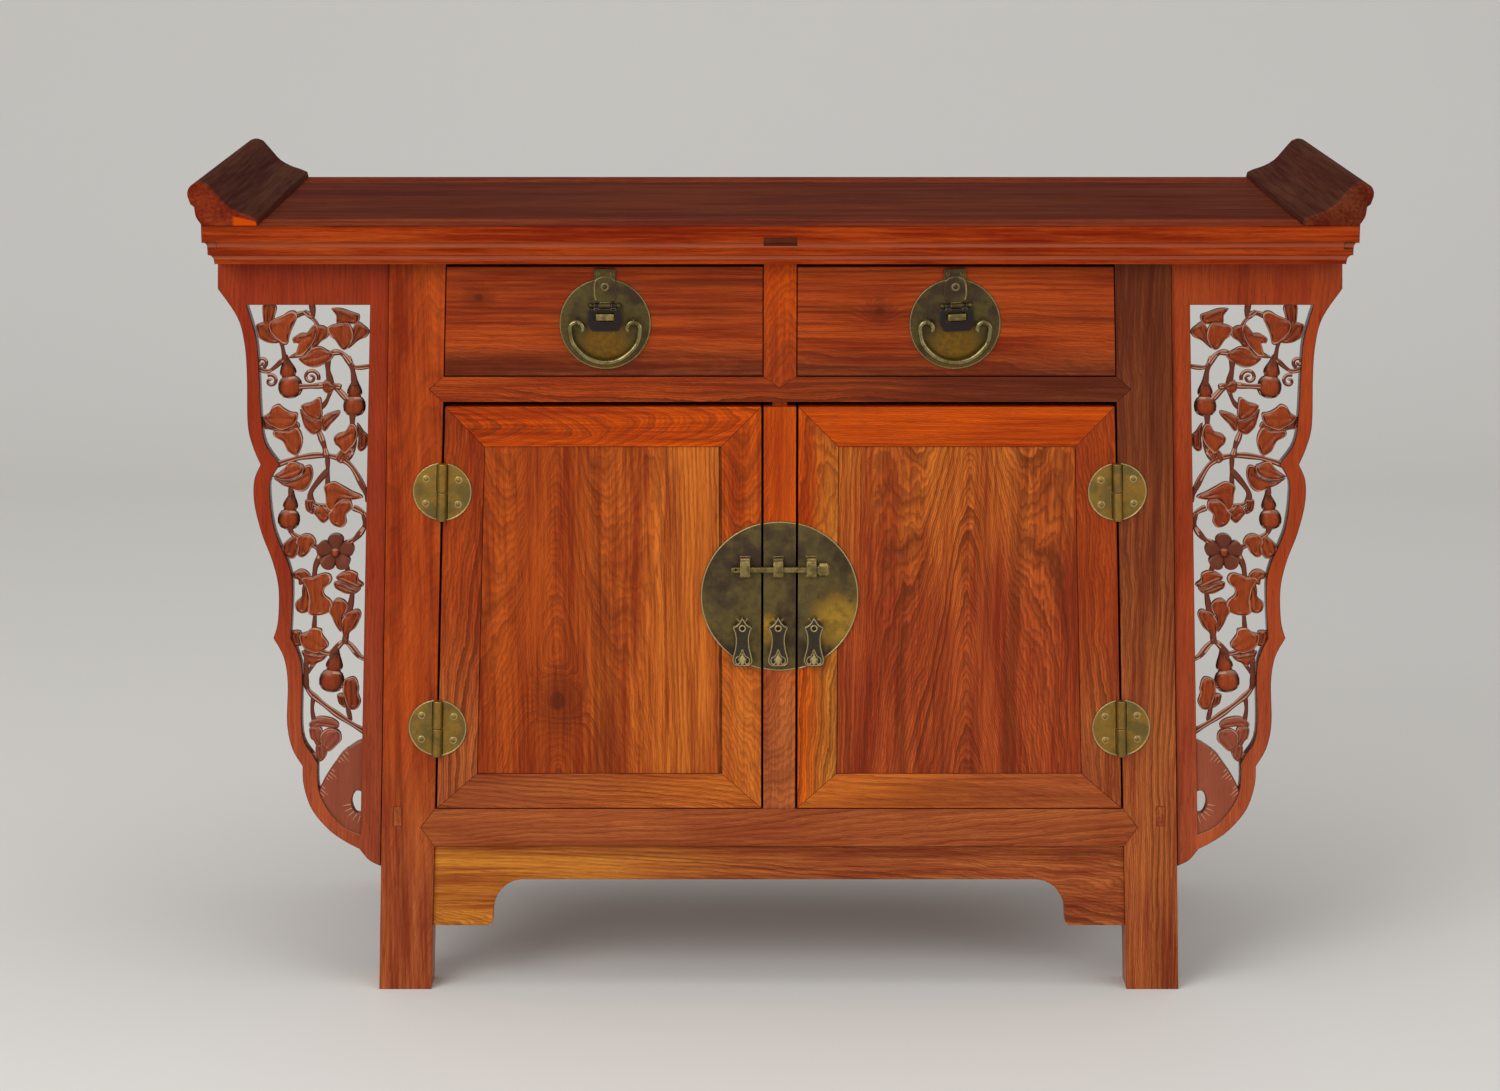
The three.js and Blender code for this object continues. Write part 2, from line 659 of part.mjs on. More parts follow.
function railTenon(side, zLow, zHigh, yFront, grow) {
  const start = legInner(zLow) - TENON_LENGTH;
  const end = legInner((zLow + zHigh) / 2) + TENON_LENGTH;
  return block(side * start, side * end, yFront + TENON_SETBACK, yFront + TENON_SETBACK + TENON_THICKNESS,
    zLow + TENON_SHOULDER, zHigh - TENON_SHOULDER, grow);
}

function pointedShoulder(side, zLow, zHigh, grow) {
  const middle = (zLow + zHigh) / 2;
  const outline = [
    [side * (legInner(zHigh) - OVERRUN), zHigh + grow],
    [side * legInner(zHigh), zHigh + grow],
    [side * (legInner(middle) + SHOULDER_REACH + 2 * grow), middle],
    [side * legInner(zLow), zLow - grow],
    [side * (legInner(zLow) - OVERRUN), zLow - grow],
  ];
  return frontPrism(outline, FACE - (grow ? OVERRUN : 0), FACE + SHOULDER_DEPTH + grow);
}

function sideTenon(side, grow) {
  const inner = SIDE_TENON_INSET + SIDE_PANEL_THICKNESS;
  return leaningBlock(side, SIDE_TENON_INSET, inner, FACE, REAR,
    SIDE_TENON_BOTTOM, SIDE_TENON_BOTTOM + SIDE_TENON_HEIGHT, grow);
}

function sidePanelBody(side, grow) {
  const inner = SIDE_PANEL_INSET + SIDE_PANEL_THICKNESS;
  return leaningBlock(side, SIDE_PANEL_INSET, inner, FRONT_LEG_BACK - PANEL_HOUSING,
    BACK_LEG_FRONT + PANEL_HOUSING, SIDE_RAIL_TOP - HOUSING, CARCASS_HEIGHT - FIT, grow);
}

function spandrelTongue(side, grow) {
  const front = SPANDREL_MIDDLE - SPANDREL_TONGUE_THICKNESS / 2;
  return leaningBlock(side, -SPANDREL_TONGUE_OVERLAP, SPANDREL_TONGUE_LENGTH, front,
    front + SPANDREL_TONGUE_THICKNESS, SPANDREL_BOTTOM + SPANDREL_TONGUE_RISE, SPANDREL_TOP, grow);
}

function apronTongue(grow) {
  const high = BASE_RAIL_BOTTOM - FIT;
  const front = FACE + APRON_RECESS + (APRON_THICKNESS - APRON_TONGUE_THICKNESS) / 2;
  const outline = [
    [-legInner(APRON_BOTTOM) - HOUSING, APRON_BOTTOM - grow],
    [legInner(APRON_BOTTOM) + HOUSING, APRON_BOTTOM - grow],
    [legInner(high) + HOUSING, high + grow],
    [-legInner(high) - HOUSING, high + grow],
  ];
  const reach = outline.map(([x, z]) => [x + Math.sign(x) * grow, z]);
  return frontPrism(reach, front - grow, front + APRON_TONGUE_THICKNESS + grow);
}

function backPanelBody(grow) {
  const low = BASE_RAIL_TOP - HOUSING - grow;
  const high = CARCASS_HEIGHT - FIT + grow;
  const outline = [
    [-legInner(low) - PANEL_HOUSING - grow, low],
    [legInner(low) + PANEL_HOUSING + grow, low],
    [legInner(high) + PANEL_HOUSING + grow, high],
    [-legInner(high) - PANEL_HOUSING - grow, high],
  ];
  return frontPrism(outline, BACK_PANEL_FRONT - grow, BACK_PANEL_BACK + grow);
}

function legBlank(side, yFront, yBack) {
  const top = CARCASS_HEIGHT - FIT;
  const outline = [
    [side * LEG_FOOT_INNER, 0],
    [side * LEG_FOOT_OUTER, 0],
    [side * legOuter(top), top],
    [side * legInner(top), top],
  ];
  return frontPrism(outline, yFront, yBack);
}

function frontLeg(side) {
  const cutters = [
    railTenon(side, WAIST_RAIL_BOTTOM, WAIST_RAIL_TOP, FACE, FIT),
    railTenon(side, BASE_RAIL_BOTTOM, BASE_RAIL_TOP, FACE, FIT),
    pointedShoulder(side, WAIST_RAIL_BOTTOM, WAIST_RAIL_TOP, FIT),
    pointedShoulder(side, BASE_RAIL_BOTTOM, BASE_RAIL_TOP, FIT),
    sideTenon(side, FIT),
    sidePanelBody(side, FIT),
    spandrelTongue(side, FIT),
    apronTongue(FIT),
  ];
  return cutFrom(legBlank(side, FACE, FRONT_LEG_BACK), cutters).add(legTenon(side, "front", 0));
}

function backLeg(side) {
  const cutters = [
    railTenon(side, BASE_RAIL_BOTTOM, BASE_RAIL_TOP, REAR - RAIL_DEPTH, FIT),
    sideTenon(side, FIT),
    sidePanelBody(side, FIT),
    backPanelBody(FIT),
  ];
  return cutFrom(legBlank(side, BACK_LEG_FRONT, REAR), cutters).add(legTenon(side, "back", 0));
}

// Rails and posts

function railBody(zLow, zHigh, yFront) {
  const outline = [
    [-legInner(zLow) + FIT, zLow],
    [legInner(zLow) - FIT, zLow],
    [legInner(zHigh) - FIT, zHigh],
    [-legInner(zHigh) + FIT, zHigh],
  ];
  const tenons = [-1, 1].map((side) => railTenon(side, zLow, zHigh, yFront, 0));
  return joined([frontPrism(outline, yFront, yFront + RAIL_DEPTH), ...tenons]);
}

function postPoint(grow) {
  const shoulder = WAIST_RAIL_TOP + 2 * FIT;
  const outline = [
    [-HALF_POST - grow, shoulder + OVERRUN],
    [-HALF_POST - grow, shoulder],
    [0, WAIST_RAIL_TOP - POST_POINT - grow],
    [HALF_POST + grow, shoulder],
    [HALF_POST + grow, shoulder + OVERRUN],
  ];
  return frontPrism(outline, FACE - (grow ? OVERRUN : 0), FACE + SHOULDER_DEPTH + grow);
}

function postTopTenon(grow) {
  const half = POST_TENON_WIDTH / 2;
  const front = FACE + TENON_SETBACK / 2;
  return block(-half, half, front, front + TENON_THICKNESS,
    CARCASS_HEIGHT - OVERRUN, CARCASS_HEIGHT + POST_TENON_LENGTH, grow);
}

function postFootTenon(grow) {
  const half = POST_TENON_WIDTH / 2;
  const front = FACE + POST_TENON_SETBACK;
  return block(-half, half, front, front + TENON_THICKNESS,
    WAIST_RAIL_TOP - POST_TENON_LENGTH, WAIST_RAIL_TOP + OVERRUN, grow);
}

function doorPostTenon(zLow, zHigh, grow) {
  const half = POST_TENON_WIDTH / 2;
  const front = FACE + (DOOR_POST_DEPTH - TENON_THICKNESS) / 2;
  return block(-half, half, front, front + TENON_THICKNESS, zLow, zHigh, grow);
}

function waistRail() {
  const cutters = [
    postPoint(FIT),
    postFootTenon(FIT),
    doorPostTenon(WAIST_RAIL_BOTTOM - OVERRUN, WAIST_RAIL_BOTTOM + DOOR_POST_MORTISE, FIT),
    deckBoard(FIT),
  ];
  const shoulders = [-1, 1].map((side) => pointedShoulder(side, WAIST_RAIL_BOTTOM, WAIST_RAIL_TOP, 0));
  return cutFrom(joined([railBody(WAIST_RAIL_BOTTOM, WAIST_RAIL_TOP, FACE), ...shoulders]), cutters);
}

function baseRail() {
  const cutters = [
    doorPostTenon(BASE_RAIL_TOP - DOOR_POST_FOOT_TENON, BASE_RAIL_TOP + OVERRUN, FIT),
    floorBoard(FIT),
    apronTopTongue(FIT),
  ];
  const shoulders = [-1, 1].map((side) => pointedShoulder(side, BASE_RAIL_BOTTOM, BASE_RAIL_TOP, 0));
  return cutFrom(joined([railBody(BASE_RAIL_BOTTOM, BASE_RAIL_TOP, FACE), ...shoulders]), cutters);
}

function backRail() {
  const cutters = [backPanelBody(FIT), floorBoard(FIT)];
  return cutFrom(railBody(BASE_RAIL_BOTTOM, BASE_RAIL_TOP, REAR - RAIL_DEPTH), cutters);
}

function drawerPost() {
  const low = WAIST_RAIL_TOP + FIT;
  const body = block(-HALF_POST, HALF_POST, FACE, RAIL_BACK, low, CARCASS_HEIGHT - FIT);
  return joined([body, postPoint(0), postTopTenon(0), postFootTenon(0)]);
}

function doorPost() {
  const back = FACE + DOOR_POST_DEPTH;
  const low = BASE_RAIL_TOP + FIT;
  const body = block(-HALF_POST, HALF_POST, FACE, back, low, DOOR_TOP);
  const topTenon = doorPostTenon(DOOR_TOP - OVERRUN, DOOR_TOP + DOOR_POST_TOP_TENON, 0);
  const footTenon = doorPostTenon(BASE_RAIL_TOP - DOOR_POST_FOOT_TENON, low + OVERRUN, 0);
  return joined([body, topTenon, footTenon]);
}

// Sides, back and inner boards

function sideRail(side) {
  const inner = SIDE_RAIL_INSET + SIDE_RAIL_THICKNESS;
  const body = leaningBlock(side, SIDE_RAIL_INSET, inner, FRONT_LEG_BACK + FIT, BACK_LEG_FRONT - FIT,
    SIDE_RAIL_BOTTOM, SIDE_RAIL_TOP);
  return cutFrom(body.add(sideTenon(side, 0)), [sidePanelBody(side, FIT), floorBoard(FIT)]);
}

// The panel runs on above the legs, between the rails of the top, to close against the board
function sidePanel(side) {
  const inner = SIDE_PANEL_INSET + SIDE_PANEL_THICKNESS;
  const head = leaningBlock(side, SIDE_PANEL_INSET, inner, FIT - RAIL_INNER, RAIL_INNER - FIT,
    CARCASS_HEIGHT + FIT - OVERRUN, PANEL_UNDERSIDE - FIT);
  const clearOfLegs = [
    leaningBlock(side, 0, 2 * inner, -HALF_DEPTH, FRONT_LEG_BACK - PANEL_HOUSING,
      CARCASS_HEIGHT - 2 * OVERRUN, CARCASS_HEIGHT + FIT),
    leaningBlock(side, 0, 2 * inner, BACK_LEG_FRONT + PANEL_HOUSING, HALF_DEPTH,
      CARCASS_HEIGHT - 2 * OVERRUN, CARCASS_HEIGHT + FIT),
  ];
  return cutFrom(sidePanelBody(side, 0).add(cutFrom(head, clearOfLegs)), [deckBoard(FIT)]);
}

function backPanel() {
  return cutFrom(backPanelBody(0), [deckBoard(FIT)]);
}

// A board between the front rail, the sides and the back, its edges in grooves
function innerBoard(zTop, thickness, insetSide, yBack, grow) {
  const reach = legOuter(zTop) - insetSide;
  return block(-reach, reach, RAIL_BACK - HOUSING, yBack, zTop - thickness, zTop, grow);
}

function legNotches(zLow) {
  const inner = legInner(zLow + OVERRUN) - LEG_NOTCH_PLAY;
  const cutters = [];
  for (const side of [-1, 1]) {
    cutters.push(block(side * inner, side * HALF_LENGTH, -HALF_DEPTH, FRONT_LEG_BACK + LEG_NOTCH_PLAY,
      0, CARCASS_HEIGHT));
    cutters.push(block(side * inner, side * HALF_LENGTH, BACK_LEG_FRONT - LEG_NOTCH_PLAY, HALF_DEPTH,
      0, CARCASS_HEIGHT));
  }
  return cutters;
}

function floorBoard(grow) {
  const inset = SIDE_RAIL_INSET + SIDE_RAIL_THICKNESS - HOUSING;
  return innerBoard(FLOOR_TOP, FLOOR_THICKNESS, inset, REAR - RAIL_DEPTH + HOUSING, grow);
}

function deckBoard(grow) {
  const inset = SIDE_PANEL_INSET + SIDE_PANEL_THICKNESS / 2;
  const back = BACK_PANEL_FRONT + BACK_PANEL_THICKNESS / 2;
  return innerBoard(WAIST_RAIL_TOP, DECK_THICKNESS, inset, back, grow);
}

function floorPanel() {
  const behindPanel = block(-HALF_LENGTH, HALF_LENGTH, BACK_PANEL_FRONT - FIT, HALF_DEPTH,
    BASE_RAIL_TOP - HOUSING - 2 * FIT, FLOOR_TOP + OVERRUN);
  return cutFrom(floorBoard(0), [...legNotches(FLOOR_TOP - FLOOR_THICKNESS), behindPanel]);
}

function drawerDeck() {
  const guide = block(-HALF_POST, HALF_POST, RAIL_BACK + FIT, BACK_PANEL_FRONT - FIT,
    WAIST_RAIL_TOP - DECK_THICKNESS / 2, WAIST_RAIL_TOP + GUIDE_HEIGHT);
  return cutFrom(deckBoard(0), legNotches(WAIST_RAIL_TOP - DECK_THICKNESS)).add(guide);
}

// Apron

// Shares of the bracket's length and of the rise, from the foot up to the long middle stretch
const bracketShares = [[0.13, 0.08], [0.16, 0.4], [0.28, 0.66], [0.5, 0.86], [0.76, 0.97]];

function apronTopTongue(grow) {
  const half = legInner(BASE_RAIL_BOTTOM) - SHOULDER_REACH;
  const front = FACE + APRON_RECESS + (APRON_THICKNESS - APRON_TONGUE_THICKNESS) / 2;
  return block(-half, half, front, front + APRON_TONGUE_THICKNESS,
    BASE_RAIL_BOTTOM - 2 * OVERRUN, BASE_RAIL_BOTTOM + HOUSING, grow);
}

function frontApron() {
  const high = BASE_RAIL_BOTTOM - FIT;
  const footEnd = legInner(APRON_BOTTOM) - APRON_FOOT_LENGTH;
  const middle = APRON_BOTTOM + APRON_RISE;
  const place = (side) => ([across, up]) => new THREE.Vector2(
    side * (footEnd - APRON_BRACKET_LENGTH * across),
    APRON_BOTTOM + APRON_RISE * up,
  );
  const shape = new THREE.Shape();
  shape.moveTo(legInner(high) - FIT, high);
  shape.lineTo(legInner(APRON_BOTTOM) - FIT, APRON_BOTTOM);
  shape.lineTo(footEnd, APRON_BOTTOM);
  shape.splineThru(bracketShares.map(place(1)));
  shape.lineTo(footEnd - APRON_BRACKET_LENGTH, middle);
  shape.lineTo(APRON_BRACKET_LENGTH - footEnd, middle);
  const leftSide = [...bracketShares].reverse().map(place(-1));
  shape.lineTo(leftSide[0].x, leftSide[0].y);
  shape.splineThru(leftSide.slice(1));
  shape.lineTo(-footEnd, APRON_BOTTOM);
  shape.lineTo(FIT - legInner(APRON_BOTTOM), APRON_BOTTOM);
  shape.lineTo(FIT - legInner(high), high);
  shape.closePath();
  const front = FACE + APRON_RECESS;
  const board = frontPrism(shape, front, front + APRON_THICKNESS);
  const keepHigh = block(-HALF_LENGTH, HALF_LENGTH, FACE, RAIL_BACK, middle, high);
  return joined([board, apronTongue(0).intersect(keepHigh), apronTopTongue(0)]);
}

// Doors

function doorCorners(side) {
  const lock = HALF_POST + DOOR_GAP;
  return {
    lockTop: [side * lock, DOOR_TOP],
    lockBottom: [side * lock, DOOR_BOTTOM],
    hingeTop: [side * (legInner(DOOR_TOP) - DOOR_GAP), DOOR_TOP],
    hingeBottom: [side * (legInner(DOOR_BOTTOM) - DOOR_GAP), DOOR_BOTTOM],
  };
}

function doorOpening(side) {
  const corners = doorCorners(side);
  const outer = [corners.lockTop, corners.hingeTop, corners.hingeBottom, corners.lockBottom];
  return insetOutline(outer, [DOOR_TOP_RAIL_HEIGHT, STILE_WIDTH, DOOR_BOTTOM_RAIL_HEIGHT, STILE_WIDTH]);
}

function everyEdge(amount) {
  return [amount, amount, amount, amount];
}

function doorTongue(side, grow) {
  const front = FACE + DOOR_TONGUE_SETBACK;
  const outline = insetOutline(doorOpening(side), everyEdge(-DOOR_TONGUE_LENGTH - grow));
  return frontPrism(outline, front - grow, front + DOOR_TONGUE_THICKNESS + grow);
}

// The tenons of a door's rail run behind the mitres into its stiles
function doorTenons(side, rail, grow) {
  const [lockTop, hingeTop, hingeBottom, lockBottom] = doorOpening(side);
  const [lock, hinge] = rail === "top" ? [lockTop, hingeTop] : [lockBottom, hingeBottom];
  const upward = rail === "top" ? 1 : -1;
  const zNear = lock[1] + upward * (DOOR_TONGUE_LENGTH + 2 * FIT);
  const zFar = zNear + upward * DOOR_TENON_HEIGHT;
  const front = FACE + DOOR_THICKNESS - DOOR_TENON_THICKNESS - DOOR_TONGUE_SETBACK;
  const back = front + DOOR_TENON_THICKNESS;
  return [
    block(lock[0] + side * 2 * OVERRUN, lock[0] - side * DOOR_TENON_LENGTH, front, back, zNear, zFar, grow),
    block(hinge[0] - side * 2 * OVERRUN, hinge[0] + side * DOOR_TENON_LENGTH, front, back, zNear, zFar, grow),
  ];
}

function doorMember(side, outerA, outerB, innerB, innerA) {
  const outline = insetOutline([outerA, outerB, innerB, innerA], [0, FIT / 2, 0, FIT / 2]);
  return cutFrom(frontPrism(outline, FACE, FACE + DOOR_THICKNESS), [doorTongue(side, FIT)]);
}

function doorStile(side, which) {
  const corners = doorCorners(side);
  const [lockTop, hingeTop, hingeBottom, lockBottom] = doorOpening(side);
  const body = which === "lock"
    ? doorMember(side, corners.lockTop, corners.lockBottom, lockBottom, lockTop)
    : doorMember(side, corners.hingeTop, corners.hingeBottom, hingeBottom, hingeTop);
  return cutFrom(body, [...doorTenons(side, "top", FIT), ...doorTenons(side, "bottom", FIT)]);
}

function doorRail(side, which) {
  const corners = doorCorners(side);
  const [lockTop, hingeTop, hingeBottom, lockBottom] = doorOpening(side);
  const body = which === "top"
    ? doorMember(side, corners.lockTop, corners.hingeTop, hingeTop, lockTop)
    : doorMember(side, corners.lockBottom, corners.hingeBottom, hingeBottom, lockBottom);
  return joined([body, ...doorTenons(side, which, 0)]);
}

function doorPanel(side) {
  const front = FACE + DOOR_PANEL_RECESS;
  const field = frontPrism(insetOutline(doorOpening(side), everyEdge(TOP_SEAM)), front,
    front + DOOR_PANEL_THICKNESS);
  return field.add(doorTongue(side, 0));
}

// Drawers

function drawerFace(side) {
  const inner = HALF_POST + DRAWER_GAP;
  const outline = [
    [side * inner, DRAWER_BOTTOM_EDGE],
    [side * (legInner(DRAWER_BOTTOM_EDGE) - DRAWER_GAP), DRAWER_BOTTOM_EDGE],
    [side * (legInner(DRAWER_TOP_EDGE) - DRAWER_GAP), DRAWER_TOP_EDGE],
    [side * inner, DRAWER_TOP_EDGE],
  ];
  return frontPrism(outline, FACE, FACE + DRAWER_FRONT_THICKNESS);
}

function drawerBoxSize(side) {
  return {
    inner: side * (HALF_POST + DRAWER_RUNNING_PLAY),
    outer: side * (legInner(CARCASS_HEIGHT) - DRAWER_RUNNING_PLAY),
    low: WAIST_RAIL_TOP + DRAWER_LIFT_PLAY,
    high: WAIST_RAIL_TOP + DRAWER_LIFT_PLAY + DRAWER_BOX_HEIGHT,
    front: FACE + DRAWER_FRONT_THICKNESS + FIT,
    back: FACE + DRAWER_FRONT_THICKNESS + DRAWER_BOX_LENGTH,
  };
}

function drawerWalls(side, grow) {
  const { inner, outer, low, high, front, back } = drawerBoxSize(side);
  const start = front - DRAWER_SIDE_HOUSING;
  return [
    block(inner, inner + side * DRAWER_WALL, start, back, low, high, grow),
    block(outer, outer - side * DRAWER_WALL, start, back, low, high, grow),
  ];
}

function drawerFront(side) {
  return cutFrom(drawerFace(side), drawerWalls(side, FIT));
}

function drawerBox(side) {
  const { inner, outer, low, high, front, back } = drawerBoxSize(side);
  const bottom = block(inner, outer, front, back, low, low + DRAWER_BOTTOM);
  const end = block(inner, outer, back - DRAWER_WALL, back, low, high);
  return joined([...drawerWalls(side, 0), bottom, end]);
}

// Spandrels, carved with gourds on the vine. Places are shares of the spandrel's width, out from the
// leg, and of its height, up from its foot.

const outerEdgeShares = [
  [[0.885, 0.909], [0.843, 0.866], [0.828, 0.815], [0.822, 0.737], [0.79, 0.7], [0.745, 0.671]],
  [[0.782, 0.645], [0.78, 0.607], [0.735, 0.558], [0.672, 0.513], [0.634, 0.468], [0.636, 0.414],
    [0.662, 0.385]],
  [[0.6, 0.353], [0.575, 0.31], [0.577, 0.243], [0.545, 0.2], [0.482, 0.17]],
  [[0.475, 0.138], [0.425, 0.097], [0.325, 0.063], [0.228, 0.043], [0.134, 0.029]],
  [[0.076, 0.01], [0.006, 0]],
];
const windowEdgeShares = [
  [[0.773, 0.874], [0.755, 0.817], [0.741, 0.749], [0.715, 0.705], [0.63, 0.671]],
  [[0.684, 0.645], [0.686, 0.613], [0.663, 0.569], [0.62, 0.536], [0.575, 0.508], [0.548, 0.47],
    [0.557, 0.385]],
  [[0.512, 0.359], [0.487, 0.325], [0.484, 0.225], [0.415, 0.187], [0.389, 0.174]],
  [[0.382, 0.131], [0.326, 0.097], [0.229, 0.067], [0.13, 0.054]],
];
const leafNotchShare = 0.66; // of the leaf's half length, between its lobes
const leafTipShare = 1.15;
const petalNotchShare = 0.78;
const windowTopShare = 0.929;
const windowCornerShares = [0.113, 0.832];
const frameShoulderShare = 0.955;

// Leaves: place, half length as a share of the width, and the way that the tip points, in degrees
const leafShares = [
  [0.665, 0.889, 0.13, 250], [0.455, 0.878, 0.1, 70], [0.245, 0.889, 0.125, 200], [0.43, 0.845, 0.11, 300],
  [0.638, 0.747, 0.115, 120], [0.555, 0.711, 0.105, 240], [0.415, 0.75, 0.11, 30], [0.22, 0.715, 0.115, 200],
  [0.565, 0.653, 0.115, 170], [0.33, 0.612, 0.14, 250], [0.24, 0.59, 0.1, 300], [0.514, 0.545, 0.1, 90],
  [0.21, 0.477, 0.105, 20], [0.231, 0.417, 0.115, 270], [0.43, 0.379, 0.13, 160], [0.4, 0.43, 0.09, 200],
  [0.19, 0.29, 0.1, 80], [0.36, 0.218, 0.14, 140],
];
// The broad curled leaf that fills the foot, clear of a round piercing by the leg
const footLeafShares = [
  [0.39, 0.118], [0.37, 0.137], [0.335, 0.156], [0.287, 0.176], [0.228, 0.196], [0.1, 0.21], [0.1, 0.132],
  [0.16, 0.127], [0.185, 0.109], [0.16, 0.09], [0.1, 0.086], [0.1, 0.045], [0.23, 0.055], [0.34, 0.08],
];
const flowerShares = [[0.307, 0.526, 0.115], [0.435, 0.465, 0.12], [0.48, 0.495, 0.08]];
// Gourds: the middle of the lower bulb
const gourdShares = [[0.577, 0.795], [0.205, 0.765], [0.572, 0.579], [0.315, 0.315]];
const vineShares = [
  [[0.7, 0.665], [0.52, 0.681], [0.36, 0.684], [0.23, 0.672], [0.14, 0.632], [0.11, 0.61]],
  [[0.36, 0.682], [0.375, 0.7], [0.41, 0.726], [0.42, 0.75]],
  [[0.355, 0.682], [0.352, 0.655], [0.355, 0.62]],
  [[0.455, 0.93], [0.45, 0.91], [0.5, 0.915], [0.6, 0.905]],
  [[0.5, 0.918], [0.43, 0.9], [0.42, 0.88]],
  [[0.635, 0.875], [0.62, 0.855], [0.6, 0.825]],
  [[0.62, 0.84], [0.7, 0.822], [0.77, 0.826]],
  [[0.44, 0.84], [0.35, 0.85], [0.28, 0.85], [0.22, 0.83], [0.2, 0.8]],
  [[0.24, 0.845], [0.2, 0.828], [0.1, 0.83]],
  [[0.36, 0.845], [0.355, 0.82], [0.33, 0.8], [0.28, 0.796]],
  [[0.57, 0.796], [0.45, 0.797], [0.33, 0.797], [0.24, 0.775]],
  [[0.33, 0.8], [0.36, 0.775], [0.4, 0.76]],
  [[0.21, 0.76], [0.21, 0.73], [0.2, 0.7], [0.24, 0.678]],
  [[0.57, 0.62], [0.57, 0.64]],
  [[0.355, 0.66], [0.45, 0.625], [0.43, 0.605], [0.35, 0.6]],
  [[0.2, 0.6], [0.14, 0.59], [0.13, 0.57], [0.2, 0.545], [0.3, 0.528]],
  [[0.57, 0.57], [0.55, 0.555], [0.4, 0.53], [0.42, 0.5], [0.43, 0.47]],
  [[0.28, 0.53], [0.22, 0.5], [0.2, 0.46], [0.22, 0.42], [0.24, 0.375]],
  [[0.42, 0.46], [0.42, 0.42], [0.43, 0.38]],
  [[0.43, 0.37], [0.33, 0.358], [0.24, 0.377], [0.15, 0.353], [0.11, 0.35]],
  [[0.32, 0.36], [0.31, 0.34]],
  [[0.46, 0.37], [0.47, 0.325], [0.46, 0.298], [0.38, 0.277], [0.25, 0.25], [0.11, 0.225]],
  [[0.38, 0.36], [0.46, 0.325]],
  [[0.24, 0.31], [0.22, 0.27], [0.2, 0.245]],
  [[0.31, 0.31], [0.22, 0.3]],
  [[0.42, 0.29], [0.43, 0.262], [0.4, 0.225]],
  [[0.36, 0.21], [0.4, 0.185], [0.42, 0.19]],
  [[0.2, 0.2], [0.25, 0.17], [0.28, 0.14]],
];

function spandrelPoint(side, across, up) {
  return new THREE.Vector2(side * SPANDREL_WIDTH * across, SPANDREL_BOTTOM + SPANDREL_HEIGHT * up);
}

// Leans a solid drawn upright, so that what is drawn at X zero follows the leg's outer face
function leaned(side, geometry) {
  const shift = new THREE.Matrix4().makeTranslation(side * LEG_FOOT_OUTER, 0, 0);
  const shear = new THREE.Matrix4().makeShear(
    0, 0, 0, 0, (side * (LEG_TOP_OUTER - LEG_FOOT_OUTER)) / CARCASS_HEIGHT, 0,
  );
  geometry.applyMatrix4(shift.multiply(shear));
  return geometry;
}

function spandrelFrame(side) {
  const place = ([across, up]) => spandrelPoint(side, across, up);
  const outline = new THREE.Shape();
  outline.moveTo(side * FIT, SPANDREL_TOP);
  outline.lineTo(...place([1, 1]).toArray());
  outline.lineTo(...place([1, frameShoulderShare]).toArray());
  for (const run of outerEdgeShares) outline.splineThru(run.map(place));
  outline.closePath();
  const opening = new THREE.Path();
  opening.moveTo(...place([windowCornerShares[0], windowTopShare]).toArray());
  opening.lineTo(...place([windowCornerShares[1], windowTopShare]).toArray());
  for (const run of windowEdgeShares) opening.splineThru(run.map(place));
  opening.closePath();
  outline.holes.push(opening);
  const geometry = extruded(outline, SPANDREL_THICKNESS);
  geometry.applyMatrix4(FRONT_VIEW);
  geometry.translate(0, SPANDREL_BACK, 0);
  return solidOf(leaned(side, geometry));
}

// A lobed outline about its own middle: deep notches make a leaf, shallow ones a flower
function lobedOutline(radius, lobes, notchShare, tipShare, turn) {
  const shape = new THREE.Shape();
  for (let i = 0; i < 2 * lobes; i += 1) {
    const angle = turn + (HALF_TURN * i) / lobes;
    const lobe = i === 0 ? radius * tipShare : radius;
    const reach = i % 2 === 0 ? lobe : radius * notchShare;
    const x = reach * Math.cos(angle);
    const y = reach * Math.sin(angle);
    if (i === 0) shape.moveTo(x, y);
    else shape.lineTo(x, y);
  }
  shape.closePath();
  return shape;
}

function carvedSlab(side, shape, place, thickness) {
  const geometry = extruded(shape, thickness);
  geometry.applyMatrix4(FRONT_VIEW);
  geometry.translate(place.x, SPANDREL_MIDDLE + thickness / 2, place.y);
  return solidOf(leaned(side, geometry));
}

function leaf(side, [across, up, size, heading]) {
  const turn = THREE.MathUtils.degToRad(side < 0 ? 180 - heading : heading);
  const outline = lobedOutline(SPANDREL_WIDTH * size, LEAF_LOBES, leafNotchShare, leafTipShare, turn);
  return carvedSlab(side, outline, spandrelPoint(side, across, up), LEAF_THICKNESS);
}

function footLeaf(side) {
  const foot = new THREE.Vector2(0, 0);
  const outline = footLeafShares.map(([across, up]) => spandrelPoint(side, across, up));
  return carvedSlab(side, new THREE.Shape(outline), foot, LEAF_THICKNESS);
}

function flower(side, [across, up, size]) {
  const petals = lobedOutline(SPANDREL_WIDTH * size, LEAF_LOBES, petalNotchShare, 1, QUARTER_TURN);
  return carvedSlab(side, petals, spandrelPoint(side, across, up), FLOWER_THICKNESS);
}

// Shares of the radius and of the height, from the lower bulb's foot to the stalk
const gourdProfileShares = [
  [0, 0], [0.7, 0.07], [1, 0.28], [0.42, 0.57], [0.56, 0.74], [0.16, 0.96], [0, 1],
];

